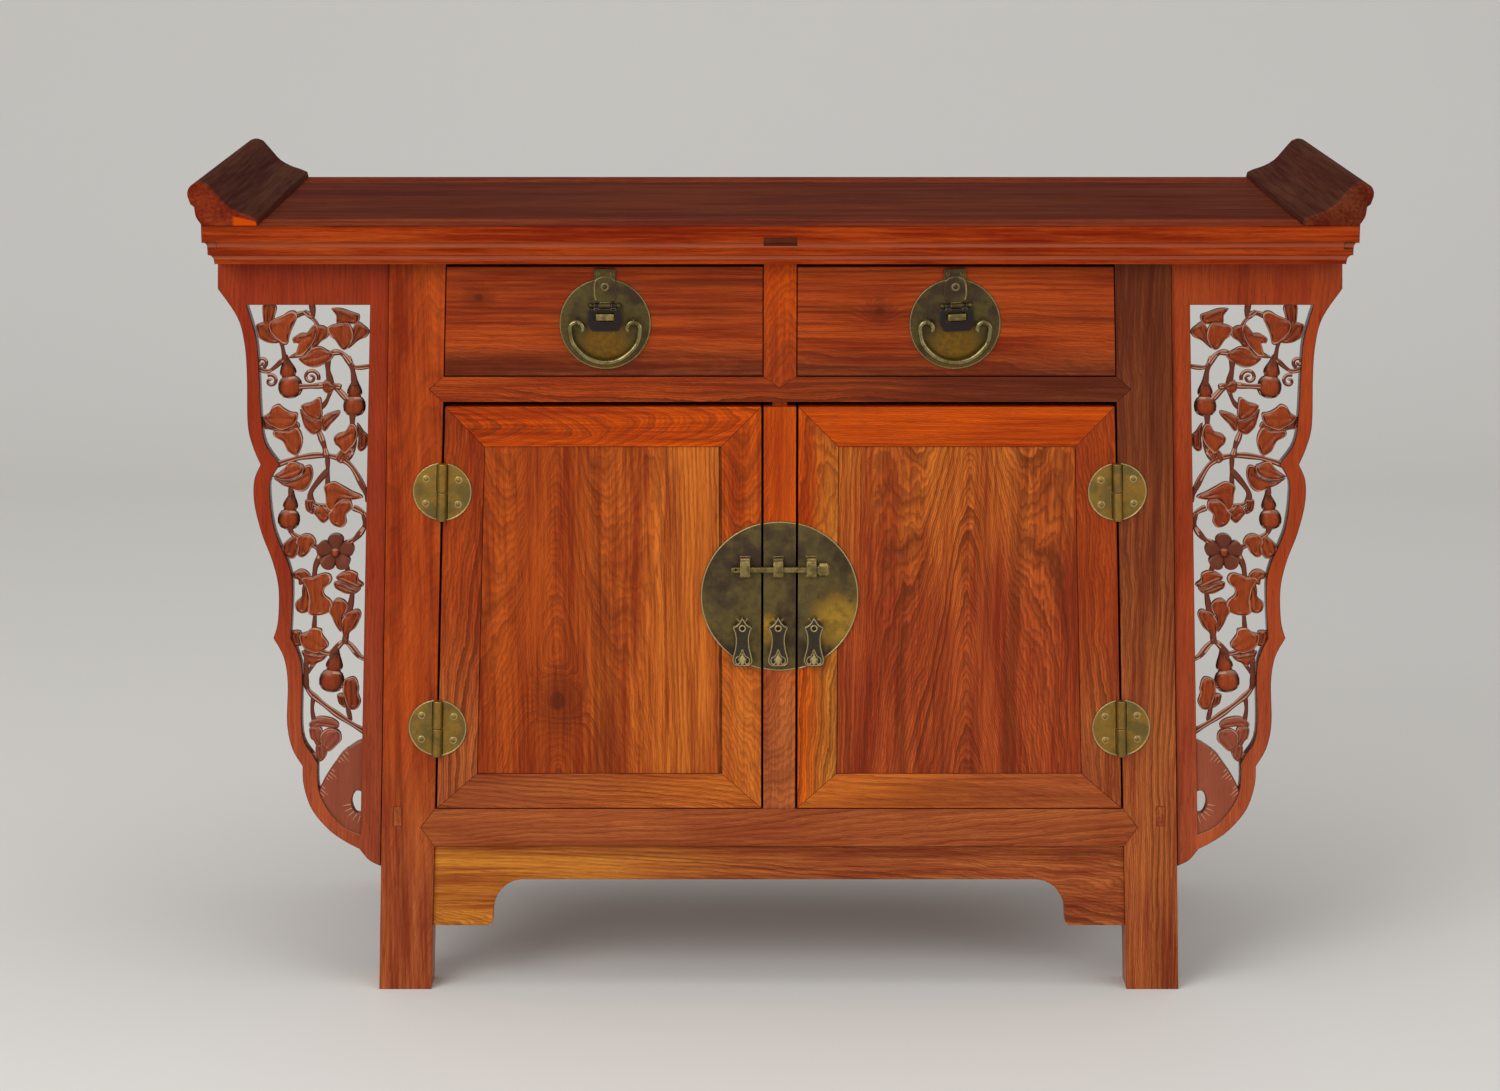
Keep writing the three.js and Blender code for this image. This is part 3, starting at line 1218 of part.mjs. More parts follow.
function gourd(side, [across, up]) {
  const profile = gourdProfileShares.map(([out, rise]) => new THREE.Vector2(
    GOURD_RADIUS * out,
    GOURD_HEIGHT * (rise - gourdProfileShares[2][1]),
  ));
  const geometry = new THREE.LatheGeometry(profile, GOURD_STEPS);
  geometry.rotateX(QUARTER_TURN);
  geometry.scale(1, (SPANDREL_THICKNESS / 2 - FIT) / GOURD_RADIUS, 1);
  const place = spandrelPoint(side, across, up);
  geometry.translate(place.x, SPANDREL_MIDDLE, place.y);
  return solidOf(leaned(side, geometry));
}

function vine(side, run, radius) {
  const points = run.map(([across, up]) => {
    const place = spandrelPoint(side, across, up);
    return new THREE.Vector3(place.x, SPANDREL_MIDDLE, place.y);
  });
  const settings = {
    extrudePath: new THREE.CatmullRomCurve3(points),
    steps: run.length - 1,
    bevelEnabled: false,
  };
  const geometry = new THREE.ExtrudeGeometry(circleSection(radius, VINE_SIDES), settings);
  return solidOf(leaned(side, geometry));
}

function spandrel(side) {
  const growth = [
    ...vineShares.map((run) => vine(side, run, run.length > 3 ? VINE_RADIUS : TENDRIL_RADIUS)),
    ...leafShares.map((entry) => leaf(side, entry)),
    footLeaf(side),
    ...flowerShares.map((entry) => flower(side, entry)),
    ...gourdShares.map((entry) => gourd(side, entry)),
  ];
  return joined([spandrelFrame(side), spandrelTongue(side, 0), ...growth]);
}

// Hinges: each leaf is half a disc with one knuckle, drawn upright about the pin and then leaned

function halfDisc(side, radius, edge) {
  const shape = new THREE.Shape();
  const start = Math.acos(edge / radius);
  shape.absarc(0, 0, radius, -start, start, false);
  shape.closePath();
  const geometry = new THREE.ExtrudeGeometry(shape, {
    depth: PLATE_THICKNESS, bevelEnabled: false, curveSegments: HINGE_STEPS,
  });
  if (side < 0) geometry.rotateZ(HALF_TURN);
  geometry.applyMatrix4(FRONT_VIEW);
  geometry.translate(0, HINGE_BARREL_RADIUS, 0);
  return solidOf(geometry);
}

function hingeLeaf(side, end) {
  const edge = HINGE_BARREL_RADIUS + FIT;
  const halfGap = FIT / 2;
  const length = Math.sqrt(HINGE_RADIUS ** 2 - edge ** 2);
  const [low, high] = end === "upper" ? [halfGap, length] : [-length, -halfGap];
  const knuckle = rod("z", HINGE_BARREL_RADIUS, low, high, [0, 0], HINGE_STEPS);
  const tab = block(0, side * (edge + HINGE_TAB_LAP), HINGE_BARREL_RADIUS - PLATE_THICKNESS,
    HINGE_BARREL_RADIUS, low, high);
  return joined([halfDisc(side, HINGE_RADIUS, edge), knuckle, tab]);
}

function placeHinge(mesh, side, height) {
  mesh.position.set(side * (legInner(height) - DOOR_GAP / 2), FACE - HINGE_BARREL_RADIUS, height);
  mesh.rotation.y = -side * HINGE_LEAN;
}

function addHinge(side, sideName, level, height) {
  const depth = HINGE_RADIUS - HINGE_BARREL_RADIUS;
  const pin = rod("z", HINGE_PIN_RADIUS, -depth, HINGE_BARREL_RADIUS, [0, 0], HINGE_STEPS);
  const bore = rod("z", HINGE_PIN_RADIUS + HINGE_PIN_PLAY, -depth - FIT, OVERRUN, [0, 0], HINGE_STEPS);
  const legLeaf = hingeLeaf(side, "upper").add(pin);
  const doorLeaf = hingeLeaf(-side, "lower").subtract(bore);
  placeHinge(addPiece(`hinge_${level}_${sideName}_leg_leaf`, legLeaf, agedBrass()), side, height);
  placeHinge(addPiece(`hinge_${level}_${sideName}_door_leaf`, doorLeaf, agedBrass()), side, height);
}

// Lock plate, bar and pendants

function staple(x) {
  const half = STAPLE_WIDTH / 2;
  const body = block(x - half, x + half, PLATE_FRONT - STAPLE_REACH, PLATE_FRONT + PLATE_THICKNESS / 2,
    STAPLE_BOTTOM, STAPLE_BOTTOM + STAPLE_HEIGHT);
  const passage = block(x - STAPLE_WIDTH, x + STAPLE_WIDTH, PLATE_FRONT - STAPLE_REACH + STAPLE_WALL,
    PLATE_FRONT, STAPLE_BOTTOM + STAPLE_SILL, STAPLE_BOTTOM + STAPLE_SILL + BAR_THICKNESS + 2 * BAR_PLAY);
  return body.subtract(passage);
}

// A wire staple behind each pendant, square to the plate, with the pivot in its middle
function pendantStaple(x) {
  const half = PENDANT_WIRE_WIDTH / 2;
  const z = PENDANT_TOP - PENDANT_PIVOT_DROP;
  const pivot = PLATE_FRONT - PENDANT_WIRE_REACH;
  const legs = [-1, 1].map((side) => block(
    x + side * half, x + side * (half - 2 * PENDANT_WIRE_RADIUS), pivot - PENDANT_WIRE_RADIUS,
    PLATE_FRONT + PLATE_THICKNESS / 2, z - PENDANT_WIRE_RADIUS, z + PENDANT_WIRE_RADIUS,
  ));
  const pin = rod("x", PENDANT_WIRE_RADIUS, x - half + FIT, x + half - FIT, [pivot, z], WIRE_SIDES);
  return joined([pin, ...legs]);
}

function lockPlate(which) {
  const disc = rod("y", LOCK_RADIUS, PLATE_FRONT, FACE, [0, LOCK_HEIGHT], 2 * ROUND_STEPS);
  const reach = LOCK_RADIUS + OVERRUN;
  const low = LOCK_HEIGHT - reach;
  const high = LOCK_HEIGHT + reach;
  const doorEdge = HALF_POST + DOOR_GAP;
  const widths = { left: [-reach, -doorEdge], post: [-HALF_POST, HALF_POST], right: [doorEdge, reach] };
  const [from, to] = widths[which];
  const part = disc.intersect(block(from, to, FACE - reach, FACE + reach, low, high));
  const step = { left: -1, post: 0, right: 1 }[which];
  return joined([
    part,
    staple(LOCK_SHIFT + step * STAPLE_SPACING),
    pendantStaple(LOCK_SHIFT + step * PENDANT_SPACING),
  ]);
}

function lockBar() {
  const half = BAR_THICKNESS / 2;
  const tail = LOCK_SHIFT - STAPLE_SPACING - BAR_TAIL;
  const headStart = LOCK_SHIFT + STAPLE_SPACING + STAPLE_WIDTH / 2 + BAR_HEAD_GAP;
  const front = PLATE_FRONT - STAPLE_REACH + STAPLE_WALL + BAR_PLAY;
  const back = front + BAR_THICKNESS;
  const shaft = block(tail, headStart + BAR_HEAD_WIDTH / 2, front, back,
    BAR_HEIGHT - half, BAR_HEIGHT + half);
  const middle = (front + back) / 2;
  const head = block(headStart, headStart + BAR_HEAD_WIDTH, middle - BAR_HEAD_DEPTH / 2,
    middle + BAR_HEAD_DEPTH / 2, BAR_HEIGHT - BAR_HEAD_HEIGHT / 2, BAR_HEIGHT + BAR_HEAD_HEIGHT / 2);
  const eye = rod("y", BAR_EYE_RADIUS, front - OVERRUN, back + OVERRUN, [tail + BAR_THICKNESS, BAR_HEIGHT],
    WIRE_SIDES);
  return shaft.subtract(eye).add(head);
}

// Shares of half the width and of the height, down one side of a pendant from its tip
const pendantTopShares = [[0.2, 0.93], [0.55, 0.83], [0.94, 0.8]];
const pendantSideShares = [[0.7, 0.72], [0.62, 0.55], [0.72, 0.36], [0.98, 0.14]];
const pendantFootShares = [[0.86, 0.03], [0.4, 0]];
// The pierced scroll at the foot: two round ends joined by a pointed arch
const scrollEndShares = [0.52, 0.16];
const scrollPeakShares = [0, 0.35];
const scrollRadiusShare = 0.2;
const scrollLineShare = 0.04;

function pendantOutline() {
  const half = PENDANT_WIDTH / 2;
  const place = (side) => ([across, up]) => new THREE.Vector2(
    side * half * across,
    PENDANT_HEIGHT * (up - 1),
  );
  const shape = new THREE.Shape();
  shape.moveTo(0, 0);
  shape.splineThru(pendantTopShares.map(place(1)));
  shape.splineThru(pendantSideShares.map(place(1)));
  shape.splineThru(pendantFootShares.map(place(1)));
  shape.lineTo(...place(-1)(pendantFootShares[1]).toArray());
  shape.splineThru([place(-1)(pendantFootShares[0]), place(-1)(pendantSideShares[3])]);
  shape.splineThru([...pendantSideShares].reverse().slice(1).map(place(-1)));
  shape.splineThru([...pendantTopShares].reverse().map(place(-1)));
  shape.closePath();
  return shape;
}

function pendantPiercing() {
  const half = PENDANT_WIDTH / 2;
  const [endAcross, endUp] = scrollEndShares;
  const low = PENDANT_HEIGHT * (endUp - 1);
  const peak = PENDANT_HEIGHT * (scrollPeakShares[1] - 1);
  const line = PENDANT_WIDTH * scrollLineShare;
  const reach = 2 * OVERRUN;
  const solids = [];
  for (const side of [-1, 1]) {
    const x = side * half * endAcross;
    solids.push(rod("y", half * scrollRadiusShare, -reach, reach, [x, low], WIRE_SIDES));
    solids.push(frontPrism([
      [x + side * line, low], [side * line, peak], [-side * line, peak], [x - side * line, low],
    ], -reach, reach));
  }
  const eye = rod("y", PENDANT_EYE_RADIUS, -reach, reach, [0, -PENDANT_EYE_DROP], WIRE_SIDES);
  return joined([...solids, eye]);
}

function pendant() {
  const drop = -PENDANT_PIVOT_DROP;
  const offset = PENDANT_KNUCKLE_RADIUS + PENDANT_THICKNESS;
  const plate = frontPrism(pendantOutline(), -offset + FIT, -offset + FIT + PENDANT_THICKNESS);
  const piercing = pendantPiercing();
  const half = PENDANT_KNUCKLE_LENGTH / 2;
  const knuckle = rod("x", PENDANT_KNUCKLE_RADIUS, -half, half, [0, drop], WIRE_SIDES);
  const bore = rod("x", PENDANT_WIRE_RADIUS + PENDANT_WIRE_PLAY, -half - OVERRUN, half + OVERRUN, [0, drop],
    WIRE_SIDES);
  return plate.subtract(piercing).add(knuckle).subtract(bore);
}

function addPendant(name, step) {
  const mesh = addPiece(name, pendant(), wornBrass());
  mesh.position.set(LOCK_SHIFT + step * PENDANT_SPACING, PLATE_FRONT - PENDANT_WIRE_REACH, PENDANT_TOP);
}

// Drawer fittings, drawn about the middle of the plate's front face

function strapAxis() {
  const top = DRAWER_TOP_EDGE - STRAP_TOP_DROP - DRAWER_PLATE_HEIGHT;
  return { y: -HASP_AXIS_OFFSET, z: top - STRAP_LENGTH, top };
}

function haspStrap() {
  const { y, z, top } = strapAxis();
  const half = STRAP_WIDTH / 2;
  const flat = block(-half, half, -STRAP_THICKNESS, 0, z + HASP_KNUCKLE_RADIUS, top);
  const foot = block(-half, half, -STRAP_THICKNESS, PLATE_THICKNESS - FIT,
    Math.sqrt(DRAWER_PLATE_RADIUS ** 2 - half ** 2) - STRAP_LAP, top);
  const tongue = block(-HASP_KNUCKLE_INNER + FIT, HASP_KNUCKLE_INNER - FIT, -STRAP_THICKNESS, 0,
    z, z + 2 * HASP_KNUCKLE_RADIUS);
  const knuckle = rod("x", HASP_KNUCKLE_RADIUS, -HASP_KNUCKLE_INNER + FIT, HASP_KNUCKLE_INNER - FIT, [y, z],
    HINGE_STEPS);
  const reach = HASP_BALL_SPREAD / 2;
  const pin = rod("x", HASP_PIN_RADIUS, -reach, reach, [y, z], WIRE_SIDES);
  const balls = [-1, 1].map((side) => ball(HASP_BALL_RADIUS, [side * reach, y, z]));
  return joined([flat, foot, tongue, knuckle, pin, ...balls]);
}

// The catch stands through the hasp's slot, bridged so that a lock can pass down behind its face
function haspCatch() {
  const { z } = strapAxis();
  const half = CATCH_WIDTH / 2;
  const top = z - CATCH_DROP;
  const body = block(-half, half, -CATCH_REACH, PLATE_THICKNESS / 2, top - CATCH_HEIGHT, top);
  const eye = block(-half + 2 * CATCH_WALL, half - 2 * CATCH_WALL, -CATCH_REACH + CATCH_WALL, -CATCH_WALL,
    top - CATCH_HEIGHT - OVERRUN, top + OVERRUN);
  return body.subtract(eye);
}

function bailEye(side) {
  const x = (side * BAIL_SPREAD) / 2;
  const bore = BAIL_RADIUS + BAIL_EYE_PLAY;
  const half = BAIL_EYE_WIDTH / 2;
  const post = block(x - half, x + half, -BAIL_OFFSET, PLATE_THICKNESS / 2, BAIL_EYE_RISE - half,
    BAIL_EYE_RISE + half);
  const ring = rod("x", bore + BAIL_EYE_WALL, x - half, x + half, [-BAIL_OFFSET, BAIL_EYE_RISE], HINGE_STEPS);
  const hole = rod("x", bore, x - OVERRUN, x + OVERRUN, [-BAIL_OFFSET, BAIL_EYE_RISE], HINGE_STEPS);
  return post.add(ring).subtract(hole);
}

function drawerPlate(tilt) {
  const disc = rod("y", DRAWER_PLATE_RADIUS, 0, PLATE_THICKNESS, [0, 0], ROUND_STEPS);
  const upright = joined([haspStrap(), haspCatch()]);
  const geometry = geometryOf(upright);
  geometry.applyMatrix4(tiltAboutRivet(tilt));
  return joined([disc, bailEye(-1), bailEye(1), solidOf(geometry)]);
}

function tiltAboutRivet(tilt) {
  const { z, top } = strapAxis();
  const rivet = new THREE.Vector3(0, 0, (z + top) / 2);
  return new THREE.Matrix4().makeTranslation(rivet)
    .multiply(new THREE.Matrix4().makeRotationY(THREE.MathUtils.degToRad(tilt)))
    .multiply(new THREE.Matrix4().makeTranslation(rivet.negate()));
}

function hasp() {
  const { y, z } = strapAxis();
  const half = HASP_WIDTH / 2;
  const front = y - HASP_THICKNESS / 2;
  const back = front + HASP_THICKNESS;
  const top = z - HASP_BALL_RADIUS - FIT;
  const plate = block(-half, half, front, back, z - HASP_LENGTH, top);
  const slotHalf = CATCH_WIDTH / 2 + HASP_SLOT_PLAY;
  const slot = block(-slotHalf, slotHalf, front - OVERRUN, back + OVERRUN,
    z - CATCH_DROP - CATCH_HEIGHT - HASP_SLOT_PLAY, z - CATCH_DROP + HASP_SLOT_PLAY / 3);
  const knuckles = [-1, 1].flatMap((side) => {
    const ends = [side * HASP_KNUCKLE_INNER, side * HASP_KNUCKLE_OUTER].sort((a, b) => a - b);
    return [
      rod("x", HASP_KNUCKLE_RADIUS, ...ends, [y, z], HINGE_STEPS),
      block(...ends, front, back, top - HASP_THICKNESS, z),
    ];
  });
  const bore = rod("x", HASP_PIN_RADIUS + HASP_PIN_PLAY, -half, half, [y, z], HINGE_STEPS);
  return cutFrom(joined([plate, ...knuckles]), [slot, bore]);
}

// Shares of the curl's radius, out from the eye and up, round the end of the bail
const curlShares = [[-0.75, -1.45], [-1, -1], [-0.72, -0.3], [0, 0], [0.75, -0.35], [1, -1.2]];
// Shares of half the spread and of the drop, down the side of the bail
const bailSideShares = [[1.105, -0.55], [0.62, -0.88], [0, -1]];

// The bail hangs from the tops of its two curls, where the wire runs level through the eyes
function bail() {
  const half = BAIL_SPREAD / 2;
  const path = [
    ...curlShares.map(([out, up]) => [half + BAIL_CURL * out, BAIL_CURL * up]),
    ...bailSideShares.map(([out, up]) => [half * out, BAIL_DROP * up]),
  ];
  const mirrored = [...path].reverse().slice(1).map(([x, z]) => [-x, z]);
  const points = [...path, ...mirrored].map(([x, z]) => new THREE.Vector3(x, 0, z));
  return wire(new THREE.CatmullRomCurve3(points), BAIL_RADIUS, BAIL_SIDES, BAIL_STEPS);
}

function addDrawerFittings(side, sideName, tilt) {
  const plateMesh = addPiece(`drawer_plate_${sideName}`, drawerPlate(tilt), agedBrass());
  plateMesh.position.set(side * DRAWER_MIDDLE, PLATE_FRONT, DRAWER_PLATE_HEIGHT);
  const bailMesh = addPiece(`drawer_bail_${sideName}`, bail(), wornBrass());
  bailMesh.position.set(side * DRAWER_MIDDLE, PLATE_FRONT - BAIL_OFFSET, DRAWER_PLATE_HEIGHT + BAIL_EYE_RISE);
  const turned = geometryOf(hasp());
  turned.applyMatrix4(tiltAboutRivet(tilt));
  const haspMesh = addPiece(`drawer_hasp_${sideName}`, solidOf(turned), agedBrass());
  haspMesh.position.copy(plateMesh.position);
}

// Assembly

const sides = [{ side: -1, name: "left" }, { side: 1, name: "right" }];

addPiece("top_panel", topPanel(), darkHardwood());
addPiece("top_rail_front", topRail(-1), redHardwood());
addPiece("top_rail_back", topRail(1), redHardwood());
addPiece("top_batten", topBatten(), darkHardwood());
addPiece("waist_rail", waistRail(), redHardwood());
addPiece("base_rail", baseRail(), redHardwood());
addPiece("back_rail", backRail(), redHardwood());
addPiece("drawer_post", drawerPost(), redHardwood());
addPiece("door_post", doorPost(), redHardwood());
addPiece("front_apron", frontApron(), figuredHardwood());
addPiece("back_panel", backPanel(), plainInnerWood());
addPiece("floor_panel", floorPanel(), plainInnerWood());
addPiece("drawer_deck", drawerDeck(), plainInnerWood());

for (const { side, name } of sides) {
  addPiece(`top_end_${name}`, topEnd(side), darkHardwood());
  addPiece(`leg_front_${name}`, frontLeg(side), redHardwood());
  addPiece(`leg_back_${name}`, backLeg(side), redHardwood());
  addPiece(`side_rail_${name}`, sideRail(side), redHardwood());
  addPiece(`side_panel_${name}`, sidePanel(side), figuredHardwood());
  addPiece(`spandrel_${name}`, spandrel(side), carvedHardwood());
  addPiece(`door_${name}_hinge_stile`, doorStile(side, "hinge"), redHardwood());
  addPiece(`door_${name}_lock_stile`, doorStile(side, "lock"), redHardwood());
  addPiece(`door_${name}_top_rail`, doorRail(side, "top"), redHardwood());
  addPiece(`door_${name}_bottom_rail`, doorRail(side, "bottom"), redHardwood());
  addPiece(`door_${name}_panel`, doorPanel(side), figuredHardwood());
  addPiece(`drawer_${name}_front`, drawerFront(side), figuredHardwood());
  addPiece(`drawer_${name}_box`, drawerBox(side), plainInnerWood());
  addHinge(side, name, "upper", DOOR_TOP - HINGE_TOP_DROP);
  addHinge(side, name, "lower", DOOR_BOTTOM + HINGE_FOOT_RISE);
}

addPiece("lock_plate_left", lockPlate("left"), agedBrass());
addPiece("lock_plate_post", lockPlate("post"), agedBrass());
addPiece("lock_plate_right", lockPlate("right"), agedBrass());
addPiece("lock_bar", lockBar(), wornBrass());
addPendant("pendant_left", -1);
addPendant("pendant_post", 0);
addPendant("pendant_right", 1);
addDrawerFittings(-1, "left", STRAP_TILT_LEFT);
addDrawerFittings(1, "right", STRAP_TILT_RIGHT);

export default model;
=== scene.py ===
import math
from functools import partial

import bmesh
import bpy
from bpy.props import FloatProperty, FloatVectorProperty, PointerProperty
from mathutils import Matrix, Vector


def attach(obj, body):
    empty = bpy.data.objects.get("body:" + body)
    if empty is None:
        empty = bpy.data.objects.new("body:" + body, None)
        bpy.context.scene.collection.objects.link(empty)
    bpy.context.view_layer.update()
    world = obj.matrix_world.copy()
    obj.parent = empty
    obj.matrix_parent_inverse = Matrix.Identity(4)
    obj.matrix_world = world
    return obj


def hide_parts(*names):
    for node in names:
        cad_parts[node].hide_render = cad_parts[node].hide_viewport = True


bl_info = {
    "name": "Altar cabinet finishes",
    "version": (1, 0, 0),
    "blender": (4, 5, 0),
    "location": "View3D > Sidebar > Cabinet",
    "description": "Wood, carving and brass for a splay-legged altar cabinet",
    "category": "Object",
}

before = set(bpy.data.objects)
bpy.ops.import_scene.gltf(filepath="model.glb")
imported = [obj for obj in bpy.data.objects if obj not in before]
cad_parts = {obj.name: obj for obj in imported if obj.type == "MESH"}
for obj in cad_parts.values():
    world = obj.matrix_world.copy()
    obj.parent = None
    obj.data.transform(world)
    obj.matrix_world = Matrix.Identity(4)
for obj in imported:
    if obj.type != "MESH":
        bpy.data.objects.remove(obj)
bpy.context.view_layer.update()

# Millimetres, in the cabinet's frame: X to the viewer's right, Y to the back, Z up
MM = 0.001
CARCASS_TOP = 818.0
# Distances of a leg's edges from the middle, at its foot and at its head
LEG_OUTER = (446.0, 416.6)
LEG_INNER = (388.0, 356.6)
FACE = -190.0
PLATE_FRONT = -191.5
LEAN = math.atan((LEG_INNER[0] - LEG_INNER[1]) / CARCASS_TOP)
SIDES = (("left", -1), ("right", 1))
# How much light the wax throws back
WAX = 0.22


def leg_edge(ends, z):
    foot, head = ends
    return foot + (head - foot) * z / CARCASS_TOP


def linear(*colour):
    """A colour read off as 0 to 255, as the light values that shading uses."""
    shares = [part / 255 for part in colour]
    return tuple(share / 12.92 if share <= 0.04045 else ((share + 0.055) / 1.055) ** 2.4 for share in shares)


def colour_setting(name, about, red, green, blue):
    return FloatVectorProperty(
        name=name, description=about, default=linear(red, green, blue), subtype="COLOR", size=3, min=0, max=1)


def length_setting(name, about, millimetres):
    return FloatProperty(name=name, description=about, default=millimetres * MM, min=0, unit="LENGTH")


def power_setting(name, about, watts):
    return FloatProperty(name=name, description=about, default=watts, min=0, unit="POWER")


class CabinetWoodSettings(bpy.types.PropertyGroup):
    """Shades and finish of the hardwood."""
    plum: colour_setting("Plum", "Dark boards of the top", 84, 31, 13)
    chestnut: colour_setting("Chestnut", "Shaded brown of the right leg and the flanges", 100, 44, 27)
    oxblood: colour_setting("Oxblood", "End grain of the left flange", 124, 44, 24)
    # The inner faces of the flanges are simply given this darker colour
    soot: colour_setting("Soot", "Darkened inner faces of the flanges", 62, 30, 20)
    crown: colour_setting("Crown", "Tint of the upper faces of the moulded edge", 190, 200, 220)
    # Hollow is a painted reflection, laid in the hollows and along the arrises of the moulded edge
    hollow_reflection: colour_setting("Hollow", "Paler hollows of the moulded edge", 176, 96, 70)
    garnet: colour_setting("Garnet", "Lower part of the right door panel", 164, 66, 32)
    russet: colour_setting("Russet", "Red brown of the moulded edge", 156, 54, 18)
    ember: colour_setting("Ember", "Orange red of drawers and legs", 158, 58, 20)
    flame: colour_setting("Flame", "Bright orange of the door rails", 192, 70, 6)
    amber: colour_setting("Amber", "Door panels", 158, 62, 20)
    honey: colour_setting("Honey", "Lighter parts of the door panels", 186, 92, 34)
    rose: colour_setting("Rose", "Pinkish brown of the low rails and feet", 164, 82, 44)
    sapwood: colour_setting("Sapwood", "Yellow edge of a board", 190, 112, 42)
    umber: colour_setting("Umber", "Dark lines of the figure", 76, 27, 14)
    inner: colour_setting("Inner wood", "Plain boards inside and behind", 150, 86, 60)
    ring_width: length_setting("Ring width", "Distance from one dark line of the figure to the next", 5.2)
    edge_radius: length_setting("Edge radius", "How far the arrises are rubbed round", 1.1)
    sheen: colour_setting("Sheen", "Colour of the light on the wax", 255, 200, 150)
    polish: FloatProperty(name="Polish", description="Roughness of the waxed surface", default=0.3,
                          min=0, max=1, subtype="FACTOR")


class CabinetCarvingSettings(bpy.types.PropertyGroup):
    """Sizes and colours of the openwork spandrels."""
    high: colour_setting("High", "Rubbed tops of the carving", 148, 48, 24)
    # Warm is painted light: the right spandrel is made lighter and warmer, standing for light falling on it
    lit_right: colour_setting("Warm", "Rubbed tops of the right spandrel", 162, 62, 28)
    # Foot is painted light: the frame is paler low down, where light falls on it
    foot: colour_setting("Foot", "Paler foot of the frame", 164, 74, 44)
    # The foot leaf and the lowest leaves are simply given a paler, pinker colour
    pale_low: colour_setting("Waxed", "Foot leaf and the lowest leaves", 142, 72, 52)
    # Deep is painted shade, the colour of sunk parts and of faces turned away from the front; it also draws
    # the figure's lines
    deep: colour_setting("Deep", "Sunk parts of the carving", 52, 24, 18)
    # Stem is the own colour of the stems and the flower, and painted shade on the rims of the leaves
    stem: colour_setting("Stem", "Stems and the rims of the leaves", 102, 52, 38)
    leaf: colour_setting("Leaf", "Crowns of the leaves and gourds", 150, 62, 28)
    # Glint is a painted highlight, on the lips and on the sides that face up and forward
    glint: colour_setting("Glint", "Lips and upper sides, where the wax is worn", 184, 138, 116)
    # Rubbed is a painted highlight along the carving's arrises
    rubbed: colour_setting("Rubbed", "Arrises of the carving", 176, 104, 82)
    sheen: colour_setting("Sheen", "Colour of the light on the wax", 255, 190, 160)
    bead: length_setting("Bead", "Rounded edge of the frame", 1.5)
    vine: length_setting("Vine", "Radius of the main stems", 3.7)
    tendril: length_setting("Tendril", "Radius of the fine stems", 2.9)
    gourd_height: length_setting("Gourd height", "From foot to stalk", 47)
    gourd_radius: length_setting("Gourd radius", "Of the lower bulb", 13.5)
    leaf_rise: length_setting("Leaf rise", "Height of a leaf's crown over its rim", 4.8)
    furrow: length_setting("Furrow", "Depth of the furrows on a leaf", 2.4)


class CabinetBrassSettings(bpy.types.PropertyGroup):
    """Sizes and colours of the fittings."""
    olive: colour_setting("Olive", "Aged brass", 106, 90, 50)
    brown: colour_setting("Brown", "Darkest patina", 62, 48, 38)
    gold: colour_setting("Gold", "Where hands have rubbed it", 172, 132, 46)
    pale: colour_setting("Pale", "Rims and raised lines", 186, 168, 118)
    hinge: colour_setting("Hinge", "Brighter brass of the hinges", 150, 114, 44)
    drawer: colour_setting("Drawer", "Rubbed brass of the drawer plates", 128, 92, 22)
    moss: colour_setting("Moss", "Greenish brass of the drawer plates", 92, 80, 40)
    bail: colour_setting("Bail", "Polished brass of the bails", 146, 136, 92)
    staple: colour_setting("Staple", "Dull brass of the staples and bar", 154, 132, 80)
    slate: colour_setting("Slate", "Blackened brass of the hanging pulls", 64, 60, 50)
    # Dark: the flaps are simply given a very dark colour
    dark: colour_setting("Dark", "Blackened flaps", 46, 38, 38)
    rim: length_setting("Rim", "Rounded edge of the plates", 0.5)
    nail: length_setting("Nail", "Radius of a nail's head", 2.6)


class CabinetStageSettings(bpy.types.PropertyGroup):
    """Floor, lamps and camera."""
    floor_colour: colour_setting("Floor", "Floor and backdrop", 214, 212, 208)
    key: power_setting("Key", "Large lamp at the upper left", 100)
    fill: power_setting("Fill", "Lamp at the right", 30)
    crown: power_setting("Crown", "Lamp above", 24)
    sky: FloatProperty(name="Sky", description="Light from all round", default=0.62, min=0)
    lens: FloatProperty(name="Lens", description="Focal length", default=85, min=1, unit="CAMERA")


# Meshes


def mesh_of(build, name):
    data = bpy.data.meshes.new(name)
    bmesh.ops.remove_doubles(build, verts=build.verts, dist=0.00001)
    bmesh.ops.recalc_face_normals(build, faces=build.faces)
    build.to_mesh(data)
    build.free()
    return data


def rounded(data, angle=38):
    """Smooth shading, with sharp edges where the surface turns sharply."""
    data.polygons.foreach_set("use_smooth", [True] * len(data.polygons))
    data.set_sharp_from_angle(angle=math.radians(angle))
    return data


def placed(data, matrix):
    data.transform(matrix)
    return data


def joined(name, parts):
    build = bmesh.new()
    for part in parts:
        build.from_mesh(part)
        bpy.data.meshes.remove(part)
    data = bpy.data.meshes.new(name)
    build.to_mesh(data)
    build.free()
    return data


def finished(data, index):
    """Gives a whole mesh one of its piece's finishes, counted from nought."""
    data.polygons.foreach_set("material_index", [index] * len(data.polygons))
    return data


def new_object(name, data):
    thing = bpy.data.objects.new(name, data)
    bpy.context.scene.collection.objects.link(thing)
    return thing


def piece(name, data, body, materials, node):
    """One visible piece that rides on a body, in place of a solid."""
    thing = new_object(name, data)
    for material in materials:
        data.materials.append(material)
    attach(thing, body)
    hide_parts(node)


def at(x, y, z):
    return Matrix.Translation((x * MM, y * MM, z * MM))


def quarter_turn(axis):
    return Matrix.Rotation(math.radians(90), 4, axis)


def facing(x, y, z):
    """Places a thing drawn flat, X across and Y up with its front towards +Z, on the cabinet's front."""
    return at(x, y, z) @ quarter_turn("X")


